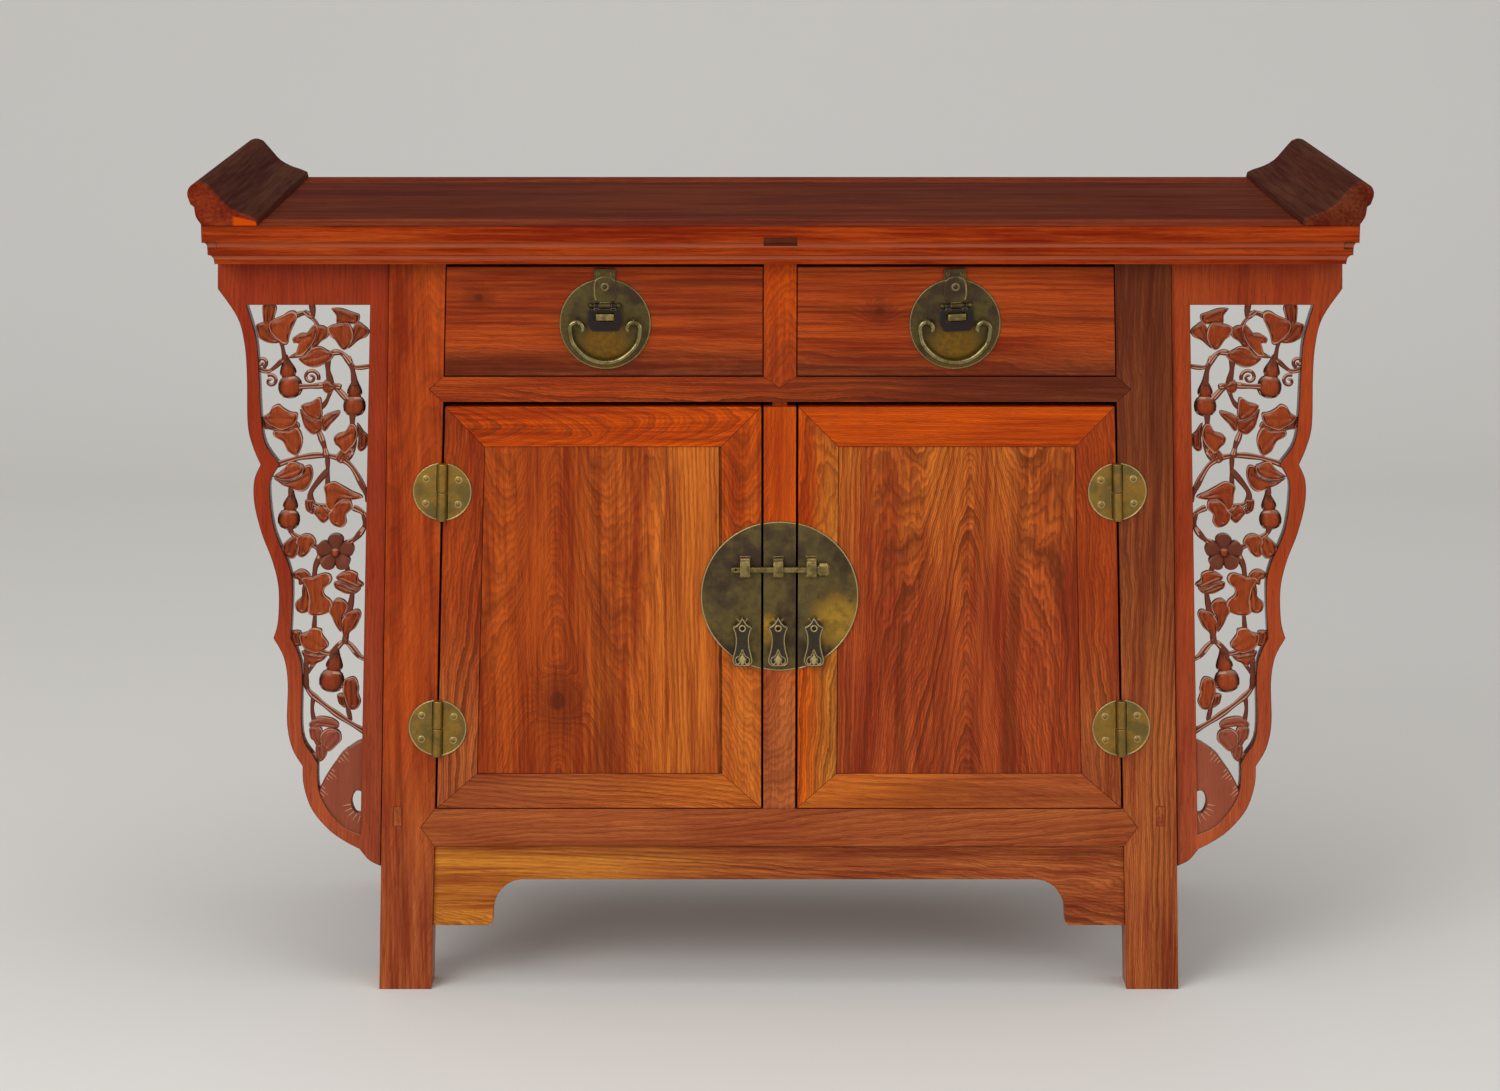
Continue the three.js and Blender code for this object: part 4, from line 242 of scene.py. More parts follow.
def plate(loops, thickness, rim, steps=3):
    """A flat plate with rounded rims from an outline and its piercings, its middle at zero height."""
    curve = bpy.data.curves.new("outline", "CURVE")
    curve.dimensions = "2D"
    curve.fill_mode = "BOTH"
    curve.extrude = (thickness / 2 - rim) * MM
    curve.bevel_depth = rim * MM
    curve.bevel_resolution = steps
    curve.offset = -rim * MM
    for loop in loops:
        spline = curve.splines.new("POLY")
        spline.points.add(len(loop) - 1)
        for point, (across, up) in zip(spline.points, loop):
            point.co = (across * MM, up * MM, 0, 1)
        spline.use_cyclic_u = True
    holder = new_object("outline", curve)
    shown = holder.evaluated_get(bpy.context.evaluated_depsgraph_get())
    data = bpy.data.meshes.new_from_object(shown)
    bpy.data.objects.remove(holder)
    bpy.data.curves.remove(curve)
    build = bmesh.new()
    build.from_mesh(data)
    bpy.data.meshes.remove(data)
    return mesh_of(build, "plate")


def circle(radius, steps, centre=(0, 0), start=0.0, end=2 * math.pi):
    """Points round a circle, or along an arc with both its ends."""
    whole = end - start >= 2 * math.pi - 0.001
    count = steps if whole else steps + 1
    return [
        (centre[0] + radius * math.cos(start + (end - start) * i / steps),
         centre[1] + radius * math.sin(start + (end - start) * i / steps))
        for i in range(count)
    ]


def smooth_run(points, per_span, closed=False):
    """Points along a curve through the given ones."""
    count = len(points)
    spans = count if closed else count - 1
    run = []
    for i in range(spans):
        ends = []
        for k in (i - 1, i, i + 1, i + 2):
            ends.append(points[k % count] if closed else points[min(max(k, 0), count - 1)])
        a, b, c, d = (Vector(p) for p in ends)
        for step in range(per_span):
            t = step / per_span
            run.append(0.5 * ((2 * b) + (c - a) * t + (2 * a - 5 * b + 4 * c - d) * t ** 2
                              + (3 * b - a - 3 * c + d) * t ** 3))
    if not closed:
        run.append(Vector(points[-1]))
    return run


def lofted(rings):
    """Skins a row of rings with as many points each. A ring of one point ends in a tip."""
    build = bmesh.new()
    rows = [[build.verts.new(Vector(p) * MM) for p in ring] for ring in rings]
    for low, high in zip(rows, rows[1:]):
        count = max(len(low), len(high))
        for i in range(count):
            k = (i + 1) % count
            corners = [low[i % len(low)], low[k % len(low)], high[k % len(high)], high[i % len(high)]]
            build.faces.new(list(dict.fromkeys(corners)))
    for row in (rows[0], rows[-1]):
        if len(row) > 2:
            build.faces.new(row)
    return mesh_of(build, "loft")


def tube(points, radii, sides, groove=0.0):
    """A round stem along points, with a radius at each one. A groove runs along its front."""
    path = [Vector(p) for p in points]
    count = len(path)
    across = None
    rings = []
    for i, centre in enumerate(path):
        along = (path[min(i + 1, count - 1)] - path[max(i - 1, 0)]).normalized()
        if across is None:
            across = along.orthogonal().normalized()
        across = (across - along * across.dot(along)).normalized()
        other = along.cross(across)
        radius = radii[i] if isinstance(radii, (list, tuple)) else radii
        ring = []
        for k in range(sides):
            angle = 2 * math.pi * k / sides
            offset = across * math.cos(angle) + other * math.sin(angle)
            depth = groove * math.exp(-((1 + offset.y) / 0.1) ** 2)
            ring.append(centre + offset * radius * (1 - depth))
        rings.append(ring)
    return lofted(rings)


def turned(profile, steps, flatten=1.0):
    """Turns a profile of (radius, height) pairs about Z. The depth, along Y, can be flattened."""
    rings = []
    for radius, height in profile:
        if radius < 0.001:
            rings.append([(0, 0, height)])
            continue
        rings.append([(x, y * flatten, height) for x, y in circle(radius, steps)])
    return lofted(rings)


def dome(radius, height, skirt, rise_steps=6):
    """A nail's head: domed towards +Z, with a short skirt below zero."""
    profile = [(radius, -skirt)]
    for i in range(rise_steps):
        angle = 0.5 * math.pi * i / rise_steps
        profile.append((radius * math.cos(angle), height * math.sin(angle)))
    return turned(profile + [(0, height)], 20)


def rounded_box(size, edge, place, steps=3):
    build = bmesh.new()
    bmesh.ops.create_cube(build, size=1)
    bmesh.ops.scale(build, vec=Vector(size) * MM, verts=build.verts)
    bmesh.ops.bevel(build, geom=build.edges[:], offset=edge * MM, segments=steps, profile=0.5,
                    affect="EDGES", clamp_overlap=True)
    return placed(mesh_of(build, "box"), at(*place))


# Shading


def fill(node, values):
    """Links or sets the inputs of a node."""
    for key, value in values.items():
        socket = node.inputs[key]
        if isinstance(value, bpy.types.NodeSocket):
            node.id_data.links.new(value, socket)
        else:
            socket.default_value = (*value[:3], 1) if socket.type == "RGBA" else value
    return node


def add_node(tree, kind, values=None, **settings):
    node = tree.nodes.new(kind)
    for key, value in settings.items():
        setattr(node, key, value)
    return fill(node, values or {})


def tree_of(*values):
    """The tree that the linked ones among the values are in."""
    return next(value.id_data for value in values if isinstance(value, bpy.types.NodeSocket))


def add_after(kind, *values, **settings):
    """The outputs of a new node whose first inputs are the values, in the tree that they are in."""
    return add_node(tree_of(*values), kind, dict(enumerate(values)), **settings).outputs


def calc(operation, *values, clamp=False):
    return add_after("ShaderNodeMath", *values, operation=operation, use_clamp=clamp)[0]


plus = partial(calc, "ADD")
minus = partial(calc, "SUBTRACT")
times = partial(calc, "MULTIPLY")
over = partial(calc, "DIVIDE")


def length(across, up):
    return calc("SQRT", plus(times(across, across), times(up, up)))


def vector(operation, *values):
    return add_after("ShaderNodeVectorMath", *values, operation=operation)


def split(place):
    return add_after("ShaderNodeSeparateXYZ", place)


def combined(*parts):
    return add_after("ShaderNodeCombineXYZ", *parts)[0]


def mixed(share, first, second, way="MIX"):
    return add_node(tree_of(share, first), "ShaderNodeMix", {0: share, 6: first, 7: second},
                    data_type="RGBA", blend_type=way).outputs[2]


def ranged(value, low, high, to_low=0.0, to_high=1.0):
    """Carries a value from one range into another, held at its ends and eased into them."""
    return add_after("ShaderNodeMapRange", value, low, high, to_low, to_high, clamp=True,
                     interpolation_type="SMOOTHSTEP")[0]


def noise(place, scale, detail=2.0, roughness=0.5):
    return add_node(place.id_data, "ShaderNodeTexNoise", {
        "Vector": place, "Scale": scale, "Detail": detail, "Roughness": roughness}).outputs


def stretched_noise(place, scales, detail=2.0, roughness=0.5):
    """Noise whose lumps are as long and wide as the three scales, in lumps to a metre."""
    return noise(vector("MULTIPLY", place, scales)[0], 1.0, detail, roughness)


NUMBER = "NodeSocketFloat"
COLOUR = "NodeSocketColor"
VECTOR = "NodeSocketVector"


def new_group(name, inputs, outputs):
    """A group's tree, what it is given, and the node that takes what it makes."""
    tree = bpy.data.node_groups.new(name, "ShaderNodeTree")
    for label, kind, default in inputs:
        socket = tree.interface.new_socket(name=label, in_out="INPUT", socket_type=kind)
        if default is not None:
            socket.default_value = (*default, 1) if kind == COLOUR else default
    for label, kind in outputs:
        tree.interface.new_socket(name=label, in_out="OUTPUT", socket_type=kind)
    return tree, tree.nodes.new("NodeGroupInput").outputs, tree.nodes.new("NodeGroupOutput")


def hardwood_group(name):
    """Figure of a sawn board. The place runs along the grain, across the board and into its depth."""
    _, given, made = new_group(
        name,
        [("Place", VECTOR, None), ("Start", COLOUR, (0.3, 0.1, 0.05)), ("End", COLOUR, (0.3, 0.1, 0.05)),
         ("Turnover", NUMBER, 0.0), ("Line", COLOUR, (0.1, 0.03, 0.01)), ("Ring Width", NUMBER, 0.0034),
         ("Heart Across", NUMBER, 0.0), ("Heart Depth", NUMBER, 0.06), ("Taper", NUMBER, 0.05),
         ("Wobble", NUMBER, 0.008), ("Ring Strength", NUMBER, 0.5), ("Streaks", NUMBER, 0.5),
         ("Dark Bands", NUMBER, 0.3), ("Knot Along", NUMBER, 9.0), ("Knot Across", NUMBER, 9.0),
         ("Knot Size", NUMBER, 0.01), ("Seed", NUMBER, 0.0)],
        [("Colour", COLOUR), ("Roughness", NUMBER), ("Height", NUMBER)])
    spot = split(given["Place"])
    seed = given["Seed"]
    place = vector("ADD", given["Place"], combined(seed, times(seed, 0.37), times(seed, 1.7)))[0]
    wander = add_after("ShaderNodeSeparateColor", stretched_noise(place, (4, 9, 9))["Color"])
    ripple = stretched_noise(place, (17, 48, 48), 4.0, 0.6)[0]
    sway = times(minus(wander[0], 0.5), times(given["Wobble"], 3.0))
    drift = times(minus(wander[1], 0.5), given["Wobble"])
    across = plus(minus(spot[1], given["Heart Across"]), sway)
    deep = plus(given["Heart Depth"], plus(spot[2], drift))
    near_heart = ranged(calc("ABSOLUTE", across), 0.025, 0.13, 1.0, 0.1)
    radius = plus(length(across, deep), times(times(given["Taper"], near_heart), spot[0]))

    # The rings swell round a knot
    knot_along = over(minus(spot[0], given["Knot Along"]), 1.35)
    knot_across = minus(spot[1], given["Knot Across"])
    knot_reach = times(length(knot_along, knot_across), plus(0.55, times(ripple, 0.9)))
    knot_ratio = over(knot_reach, given["Knot Size"])
    knot = calc("POWER", 2.718, times(times(knot_ratio, knot_ratio), -1.0))
    radius = plus(radius, times(knot, times(given["Knot Size"], 1.5)))

    phase = plus(over(radius, given["Ring Width"]), times(ripple, 1.6))
    step = calc("FRACT", phase)
    rings = times(ranged(step, 0.25, 0.85), ranged(step, 1.0, 0.9))
    spacing = stretched_noise(combined(phase), (0.31, 0.31, 0.31))[0]
    patch = stretched_noise(place, (2.2, 11, 11))[0]
    rings = times(rings, ranged(patch, 0.3, 0.6, 0.3, 1.0))
    rings = times(rings, ranged(spacing, 0.35, 0.62, 0.3, 1.0))
    thin_step = calc("FRACT", times(phase, 3.27))
    thin_rings = times(ranged(thin_step, 0.2, 0.8), ranged(thin_step, 1.0, 0.85))

    coarse = stretched_noise(place, (2.4, 40, 40), 3.0, 0.55)[0]
    fine = stretched_noise(place, (9, 300, 300), 4.0, 0.65)[0]
    mottle = stretched_noise(place, (7, 17, 17), 3.0)[0]
    pitted = ranged(stretched_noise(place, (60, 1300, 1300))[0], 0.57, 0.7)
    bands = ranged(stretched_noise(place, (1.3, 34, 34), 3.0, 0.6)[0], 0.54, 0.68)
    heart = plus(ranged(knot_ratio, 1.5, 0.5, 0.0, 0.4), ranged(knot_ratio, 0.45, 0.2, 0.0, 0.45))

    turnover = plus(given["Turnover"], times(minus(patch, 0.5), 0.6), clamp=True)
    base = mixed(turnover, given["Start"], given["End"])
    lighter = mixed(1.0, base, (1.35, 1.6, 1.3), "MULTIPLY")
    darker = mixed(1.0, base, (0.62, 0.4, 0.5), "MULTIPLY")
    tone = times(minus(coarse, 0.5), times(given["Streaks"], 2.6))
    tone = plus(tone, times(minus(mottle, 0.5), 1.0))
    tone = plus(tone, times(minus(fine, 0.5), times(given["Streaks"], 2.8)))
    colour = mixed(plus(tone, 0.5, clamp=True), lighter, darker)
    for share in (times(thin_rings, times(given["Ring Strength"], 0.6)),
                  times(rings, given["Ring Strength"], clamp=True),
                  times(bands, given["Dark Bands"], clamp=True), heart, times(pitted, 0.45)):
        colour = mixed(share, colour, given["Line"])
    height = minus(minus(times(fine, 0.5), times(pitted, 0.6)), times(rings, 0.25))
    fill(made, {"Colour": colour, "Roughness": ranged(fine, 0.3, 0.7, -0.04, 0.08), "Height": height})


def arris_group(name):
    """Rounded edges: a rounded normal, and a mask that is 1 along the arrises, where the carving takes a
    painted highlight.
    """
    tree, given, made = new_group(name, [("Radius", NUMBER, 0.001)], [("Normal", VECTOR), ("Edge", NUMBER)])
    soft = add_node(tree, "ShaderNodeBevel", {"Radius": given["Radius"]}, samples=6).outputs[0]
    flat = add_node(tree, "ShaderNodeNewGeometry").outputs["Normal"]
    same = vector("DOT_PRODUCT", soft, flat)["Value"]
    fill(made, {"Normal": soft, "Edge": ranged(same, 0.995, 0.8)})


def patina_group(name):
    """Aged brass: olive with brown clouds and rubbed gold patches."""
    _, given, made = new_group(
        name,
        [("Place", VECTOR, None), ("Olive", COLOUR, (0.2, 0.16, 0.08)), ("Brown", COLOUR, (0.1, 0.07, 0.04)),
         ("Gold", COLOUR, (0.5, 0.35, 0.1)), ("Rubbed", NUMBER, 0.0), ("Clouds", NUMBER, 22.0),
         ("Seed", NUMBER, 0.0)],
        [("Colour", COLOUR), ("Roughness", NUMBER), ("Height", NUMBER)])
    place = vector("ADD", given["Place"], combined(given["Seed"], 0.3, given["Seed"]))[0]
    broad = noise(place, given["Clouds"], 4.0, 0.6)[0]
    small = noise(place, times(given["Clouds"], 5.2), 4.0, 0.65)[0]
    speck = noise(place, 900.0)[0]
    gold = ranged(plus(given["Rubbed"], times(minus(small, 0.5), 0.9)), 0.3, 0.75)
    colour = mixed(times(ranged(broad, 0.43, 0.62), 0.9), given["Olive"], given["Brown"])
    colour = mixed(gold, colour, given["Gold"])
    colour = mixed(ranged(small, 0.35, 0.65, 0.0, 0.45), colour, given["Brown"])
    rough = plus(ranged(small, 0.3, 0.7, 0.3, 0.5), times(speck, 0.12))
    fill(made, {"Colour": colour, "Roughness": minus(rough, times(gold, 0.12)),
                "Height": plus(times(small, 0.7), times(speck, 0.3))})


# Heights of the two hollows of the moulded edge, where a painted reflection goes, and how far each reaches
HOLLOWS = ((839.0, 3.2), (825.2, 2.8))


def moulding_group(name):
    """Masks for the moulded edge: 1 in its two hollows, where a painted reflection goes, and 1 on its upper
    face.
    """
    _, given, made = new_group(name, [("Up", NUMBER, 0.0), ("Crown Height", NUMBER, 9.0)],
                               [("Hollows", NUMBER), ("Crown", NUMBER)])
    masks = []
    for middle, reach in HOLLOWS:
        away = calc("ABSOLUTE", minus(given["Up"], middle * MM))
        masks.append(ranged(away, reach * MM, reach * 0.4 * MM))
    fill(made, {"Hollows": plus(*masks),
                "Crown": ranged(minus(given["Up"], given["Crown Height"]), -0.0005, 0.0)})


def relief_group(name):
    """Masks for the carving's painted light: turned away from the front for painted shade, looking up and
    forward for a painted highlight, and low down for the painted light on the frame's foot.
    """
    tree, _, made = new_group(name, [], [("Turned Away", NUMBER), ("Upward", NUMBER), ("Low", NUMBER)])
    where = tree.nodes.new("ShaderNodeTexCoord").outputs
    _, back, up = split(where["Normal"])
    fill(made, {"Turned Away": ranged(calc("ABSOLUTE", back), 0.98, 0.7),
                "Upward": times(ranged(up, 0.3, 0.75), ranged(back, -0.3, -0.55)),
                "Low": ranged(split(where["Object"])[2], *LIT_FOOT_HEIGHTS)})


def patch_group(name):
    """Mask for a rubbed patch seen from the front: 1 at its middle, fading to its reach."""
    _, given, made = new_group(
        name, [("Place", VECTOR, None), ("Middle", VECTOR, None), ("Reach", NUMBER, 0.05),
               ("Least", NUMBER, 0.1)], [("Rubbed", NUMBER)])
    apart = vector("SUBTRACT", given["Place"], given["Middle"])[0]
    away = vector("LENGTH", vector("MULTIPLY", apart, (1, 0, 1))[0])["Value"]
    fill(made, {"Rubbed": ranged(away, given["Reach"], 0.0, given["Least"], 0.95)})


GROUPS = {
    "Hardwood figure": hardwood_group, "Rubbed arris": arris_group, "Brass patina": patina_group,
    "Moulded edge": moulding_group, "Carved relief": relief_group, "Rubbed patch": patch_group,
}


def use_group(tree, name, values):
    """The outputs of a node group, which is made when it is first used."""
    if name not in bpy.data.node_groups:
        GROUPS[name](name)
    return add_node(tree, "ShaderNodeGroup", values, node_tree=bpy.data.node_groups[name]).outputs


def new_material(name):
    material = bpy.data.materials.new(name)
    material.use_nodes = True
    tree = material.node_tree
    tree.nodes.clear()
    shader = tree.nodes.new("ShaderNodeBsdfPrincipled")
    add_node(tree, "ShaderNodeOutputMaterial", {0: shader.outputs[0]})
    return material, tree, shader


def object_place(tree):
    return tree.nodes.new("ShaderNodeTexCoord").outputs["Object"]


def raised(height, strength, distance, **normal):
    """A surface's normal, raised by a height over a smoother one if that is given."""
    return add_node(height.id_data, "ShaderNodeBump", {
        "Strength": strength, "Distance": distance, "Height": height, **normal}).outputs[0]


def board(grain, shades, heart, seed, **more):
    return dict(grain=grain, shades=shades.split(), heart=heart, seed=seed, **more)


# Each board's grain names the axes along, across and into it. Its shades run from the first to the last
# between the two places of its blend. The middle of its rings, its heart, lies so far across and into it.
# Places and widths are in millimetres.
BOARDS = {
    "top_panel": board("xyz", "plum", (0, 60), 1.1, taper=0.07, ring=0.5, streaks=1.5, bands=0.7, dull=True),
    "top_rail_front": board("xyz", "ember russet", (-240, 40), 2.3, blend=("x", -500, 300), taper=0.02,
        ring=0.45, streaks=1.1, dull=True, hollows=True, arris="hollow_reflection", crown=859.4),
    "top_rail_back": board("xyz", "russet", (240, 40), 2.9, taper=0.02, dull=True, hollows=True, crown=859.4),
    "top_end_left": board("yxz", "oxblood soot", (-580, -700), 3.1, blend=("y", -225, -205), taper=0.04,
        ring=0.3, streaks=0.8, dull=True, hollows=True, insert=(-577, 869)),
    "top_end_right": board("yxz", "chestnut soot", (580, -700), 3.7, blend=("y", -225, -205), taper=0.04,
        ring=0.3, streaks=0.8, dull=True, hollows=True),
    "top_batten": board("yxz", "umber russet", (0, -780), 4.1, blend=("y", -222, -210)),
    "leg_front_left": board("zxy", "rose ember", (-372, 240), 5.2, blend=("z", 60, 350), taper=0.13,
        ring=0.25, streaks=0.8, bands=0.45),
    "leg_front_right": board("zxy", "rose chestnut", (300, 260), 6.4, blend=("z", 180, 760), taper=0.04,
        ring=0.65, streaks=1.0, bands=0.35),
    "leg_back_left": board("zxy", "rose ember", (-420, -150), 7.2, blend=("z", 40, 420), taper=0.13),
    "leg_back_right": board("zxy", "rose chestnut", (420, -150), 7.9, blend=("z", 40, 420), taper=0.1),
    "waist_rail": board("xzy", "ember chestnut", (640, 240), 8.5, blend=("x", -150, 330), taper=0.02,
        ring=0.75, streaks=0.8, bands=0.4),
    "base_rail": board("xzy", "rose", (240, 230), 9.3, taper=0.07, ring=0.5, streaks=0.5),
    "back_rail": board("xzy", "rose", (240, -150), 9.9, taper=0.07),
    "drawer_post": board("zxy", "ember flame", (10, 230), 10.2, blend=("z", 690, 818), taper=0.14, ring=0.5),
    "door_post": board("zxy", "rose flame", (-60, 300), 11.7, blend=("z", 250, 560), taper=0.2, ring=0.55),
    "front_apron": board("xzy", "sapwood rose", (60, 225), 12.4, blend=("x", -420, 150), taper=0.13,
        ring=0.65, streaks=0.9, bands=0.4),
    "side_rail_left": board("yzx", "rose", (200, 480), 13.1),
    "side_rail_right": board("yzx", "rose", (200, -380), 13.8),
    "side_panel_left": board("zyx", "amber", (30, 480), 14.3, taper=0.14),
    "side_panel_right": board("zyx", "amber chestnut", (-20, -350), 14.9, blend=("z", 200, 800), taper=0.14),
    "back_panel": board("zxy", "inner", (60, -120), 15.5, taper=0.14, ring=0.3, dull=True),
    "floor_panel": board("xyz", "inner", (0, -120), 16.1, dull=True),
    "drawer_deck": board("xyz", "inner", (0, -600), 16.8, dull=True),
    "drawer_left_front": board("xzy", "chestnut ember", (700, 232), 17.2, blend=("z", 684, 738), taper=0.04,
        ring=0.5, streaks=1.0, bands=0.5, knot=(-322, 779, 12)),
    "drawer_right_front": board("xzy", "chestnut ember", (690, 236), 18.6, blend=("z", 684, 738), taper=0.04,
        ring=0.5, streaks=1.0, bands=0.5, knot=(107, 763, 12)),
    "drawer_left_box": board("yzx", "inner", (600, 60), 19.1, dull=True),
    "drawer_right_box": board("yzx", "inner", (600, 60), 19.7, dull=True),
    "door_left_hinge_stile": board("zxy", "rose ember", (-300, 240), 20.3, blend=("z", 240, 480), taper=0.07,
        streaks=0.7),
    "door_left_lock_stile": board("zxy", "honey flame", (-80, 250), 21.4, blend=("z", 240, 800), taper=0.16,
        ring=0.55),
    "door_left_top_rail": board("xzy", "flame", (640, 215), 22.5, taper=0.22, wobble=20, ring=0.5,
        streaks=0.8),
    "door_left_bottom_rail": board("xzy", "rose honey", (180, 240), 23.6, blend=("x", -330, -40), taper=0.1),
    "door_left_panel": board("zxy", "amber honey", (-243, 205), 24.7, blend=("x", -260, -80), taper=0.17,
        ring=0.5, streaks=0.9, knot=(333, -243, 24), wobble=6, seam=(-65, 1.8)),
    "door_right_hinge_stile": board("zxy", "rose ember", (300, 240), 25.8, blend=("z", 240, 480), taper=0.07),
    "door_right_lock_stile": board("zxy", "flame sapwood", (130, 250), 26.9, blend=("x", 18, 64), taper=0.1,
        bands=0.2),
    "door_right_top_rail": board("xzy", "flame", (500, 250), 27.1, taper=0.07, bands=0.5),
    "door_right_bottom_rail": board("xzy", "honey rose", (180, 240), 28.2, blend=("x", 60, 330), taper=0.1,
        ring=0.3),
    "door_right_panel": board("zxy", "garnet honey", (206, 200), 29.3, blend=("z", 380, 640), taper=0.15,
        ring=0.75, streaks=0.75, bands=0.45),
}

# The light strip let into the left flange: how far its top slants, and the depths where it fades in
INSERT_SLOPE = 0.22
INSERT_DEPTHS = (-0.2235, -0.2245)


def wood_material(node, board, wood):
    material, tree, shader = new_material(f"wood_{node}")
    axes = dict(zip("xyz", split(object_place(tree))))
    axis, low, high = board.get("blend", ("x", 0, 1))
    knot = board.get("knot", (9000, 9000, 10))
    across, depth = board["heart"]
    figure = use_group(tree, "Hardwood figure", {
        "Place": combined(*(axes[axis] for axis in board["grain"])),
        "Start": getattr(wood, board["shades"][0]), "End": getattr(wood, board["shades"][-1]),
        "Turnover": ranged(axes[axis], low * MM, high * MM), "Line": wood.umber,
        "Ring Width": wood.ring_width, "Heart Across": across * MM, "Heart Depth": depth * MM,
        "Taper": board.get("taper", 0.1), "Wobble": board.get("wobble", 8) * MM,
        "Ring Strength": board.get("ring", 0.7), "Streaks": board.get("streaks", 0.6),
        "Dark Bands": board.get("bands", 0.3), "Knot Along": knot[0] * MM, "Knot Across": knot[1] * MM,
        "Knot Size": knot[2] * MM, "Seed": board["seed"]})
    arris = use_group(tree, "Rubbed arris", {"Radius": wood.edge_radius})
    # Arrises darken into dark joint lines; on a board that names the hollow colour they take that painted
    # reflection instead
    colour = mixed(times(arris["Edge"], 0.45), figure["Colour"], getattr(wood, board.get("arris", "umber")))
    # A painted shadow: a dark jagged line in the gap beside the sunk panel
    if "seam" in board:
        line, width = board["seam"]
        jag = stretched_noise(object_place(tree), (40, 40, 40), 3.0)[0]
        away = calc("ABSOLUTE", minus(axes["x"], line * MM))
        away = plus(away, times(minus(jag, 0.5), width * MM))
        colour = mixed(ranged(away, width * MM, 0.0, 0.0, 0.9), colour, (0.01, 0.004, 0.002))
    if "hollows" in board:
        moulding = use_group(tree, "Moulded edge", {
            "Up": axes["z"], "Crown Height": board.get("crown", 9000) * MM})
    if "crown" in board:
        colour = mixed(moulding["Crown"], colour, mixed(1.0, figure["Colour"], wood.crown, "MULTIPLY"))
    if "insert" in board:
        side, top = board["insert"]
        slanted = plus(axes["z"], times(axes["x"], INSERT_SLOPE))
        top += INSERT_SLOPE * side
        share = times(ranged(axes["x"], (side - 2) * MM, (side + 2) * MM),
                      ranged(slanted, (top + 2) * MM, top * MM))
        share = times(share, ranged(axes["y"], *INSERT_DEPTHS))
        colour = mixed(times(share, 0.9), colour, wood.flame)
    # Painted reflection in the two hollows of the moulded edge
    if "hollows" in board:
        colour = mixed(times(moulding["Hollows"], 0.6), colour, wood.hollow_reflection)
    dull = "dull" in board
    fill(shader, {
        "Base Color": colour, "Roughness": plus(figure["Roughness"], wood.polish + (0.3 if dull else 0.0)),
        "Specular IOR Level": 0.01 if dull else WAX, "Specular Tint": wood.sheen,
        "Normal": raised(figure["Height"], 0.35, 0.0004, Normal=arris["Normal"])})
    return material


class CABINET_OT_wood(bpy.types.Operator):
    """Gives every board its own figure, colour and polish"""
    bl_idname = "cabinet.wood"
    bl_label = "Finish the boards"

    def execute(self, context):
        wood = context.scene.cabinet_wood
        for node, board in BOARDS.items():
            material = wood_material(node, board, wood)
            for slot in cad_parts[node].material_slots:
                slot.material = material
        return {"FINISHED"}


# Carving. Its outlines are rows of places, each in thousandths of the spandrel's width, out from the leg,
# and of its height, up from its foot.

# The finishes of a spandrel, after that of its frame. The stem finish is also painted shade on the rims of
# the leaves, and the lip finish is a painted highlight
STEM_AND_SHADE, LIP, CROWN, PALE_LOW = 1, 2, 3, 4
SPANDREL_WIDTH = 184.0
SPANDREL_HEIGHT = 676.0
SPANDREL_FOOT = 141.7
SPANDREL_MIDDLE = -176.0
SPANDREL_THICKNESS = 18.0
OUTER_EDGE = (
    (1000, 955, 885, 909, 843, 866, 828, 815, 822, 737, 790, 700, 745, 671),
    (745, 671, 782, 645, 780, 607, 735, 558, 672, 513, 634, 468, 636, 414, 662, 385),
    (662, 385, 600, 353, 575, 310, 577, 243, 545, 200, 482, 170),
    (482, 170, 475, 138, 425, 97, 325, 63, 228, 43, 134, 29),
    (134, 29, 76, 10, 6, 0),
)
WINDOW_EDGE = (
    (832, 929, 773, 874, 755, 817, 741, 749, 715, 705, 630, 671),
    (630, 671, 684, 645, 686, 613, 663, 569, 620, 536, 575, 508, 548, 470, 557, 385),
    (557, 385, 512, 359, 487, 325, 484, 225, 415, 187, 389, 174),
    (389, 174, 382, 131, 326, 97, 229, 67, 130, 54),
)
WINDOW_CORNER = (113, 929)
LEAF_SPREAD = 1.17
# Leaves whose rib starts below this height take the paler, pinker colour of the foot leaf
PALE_LEAF_TOP = 317.5
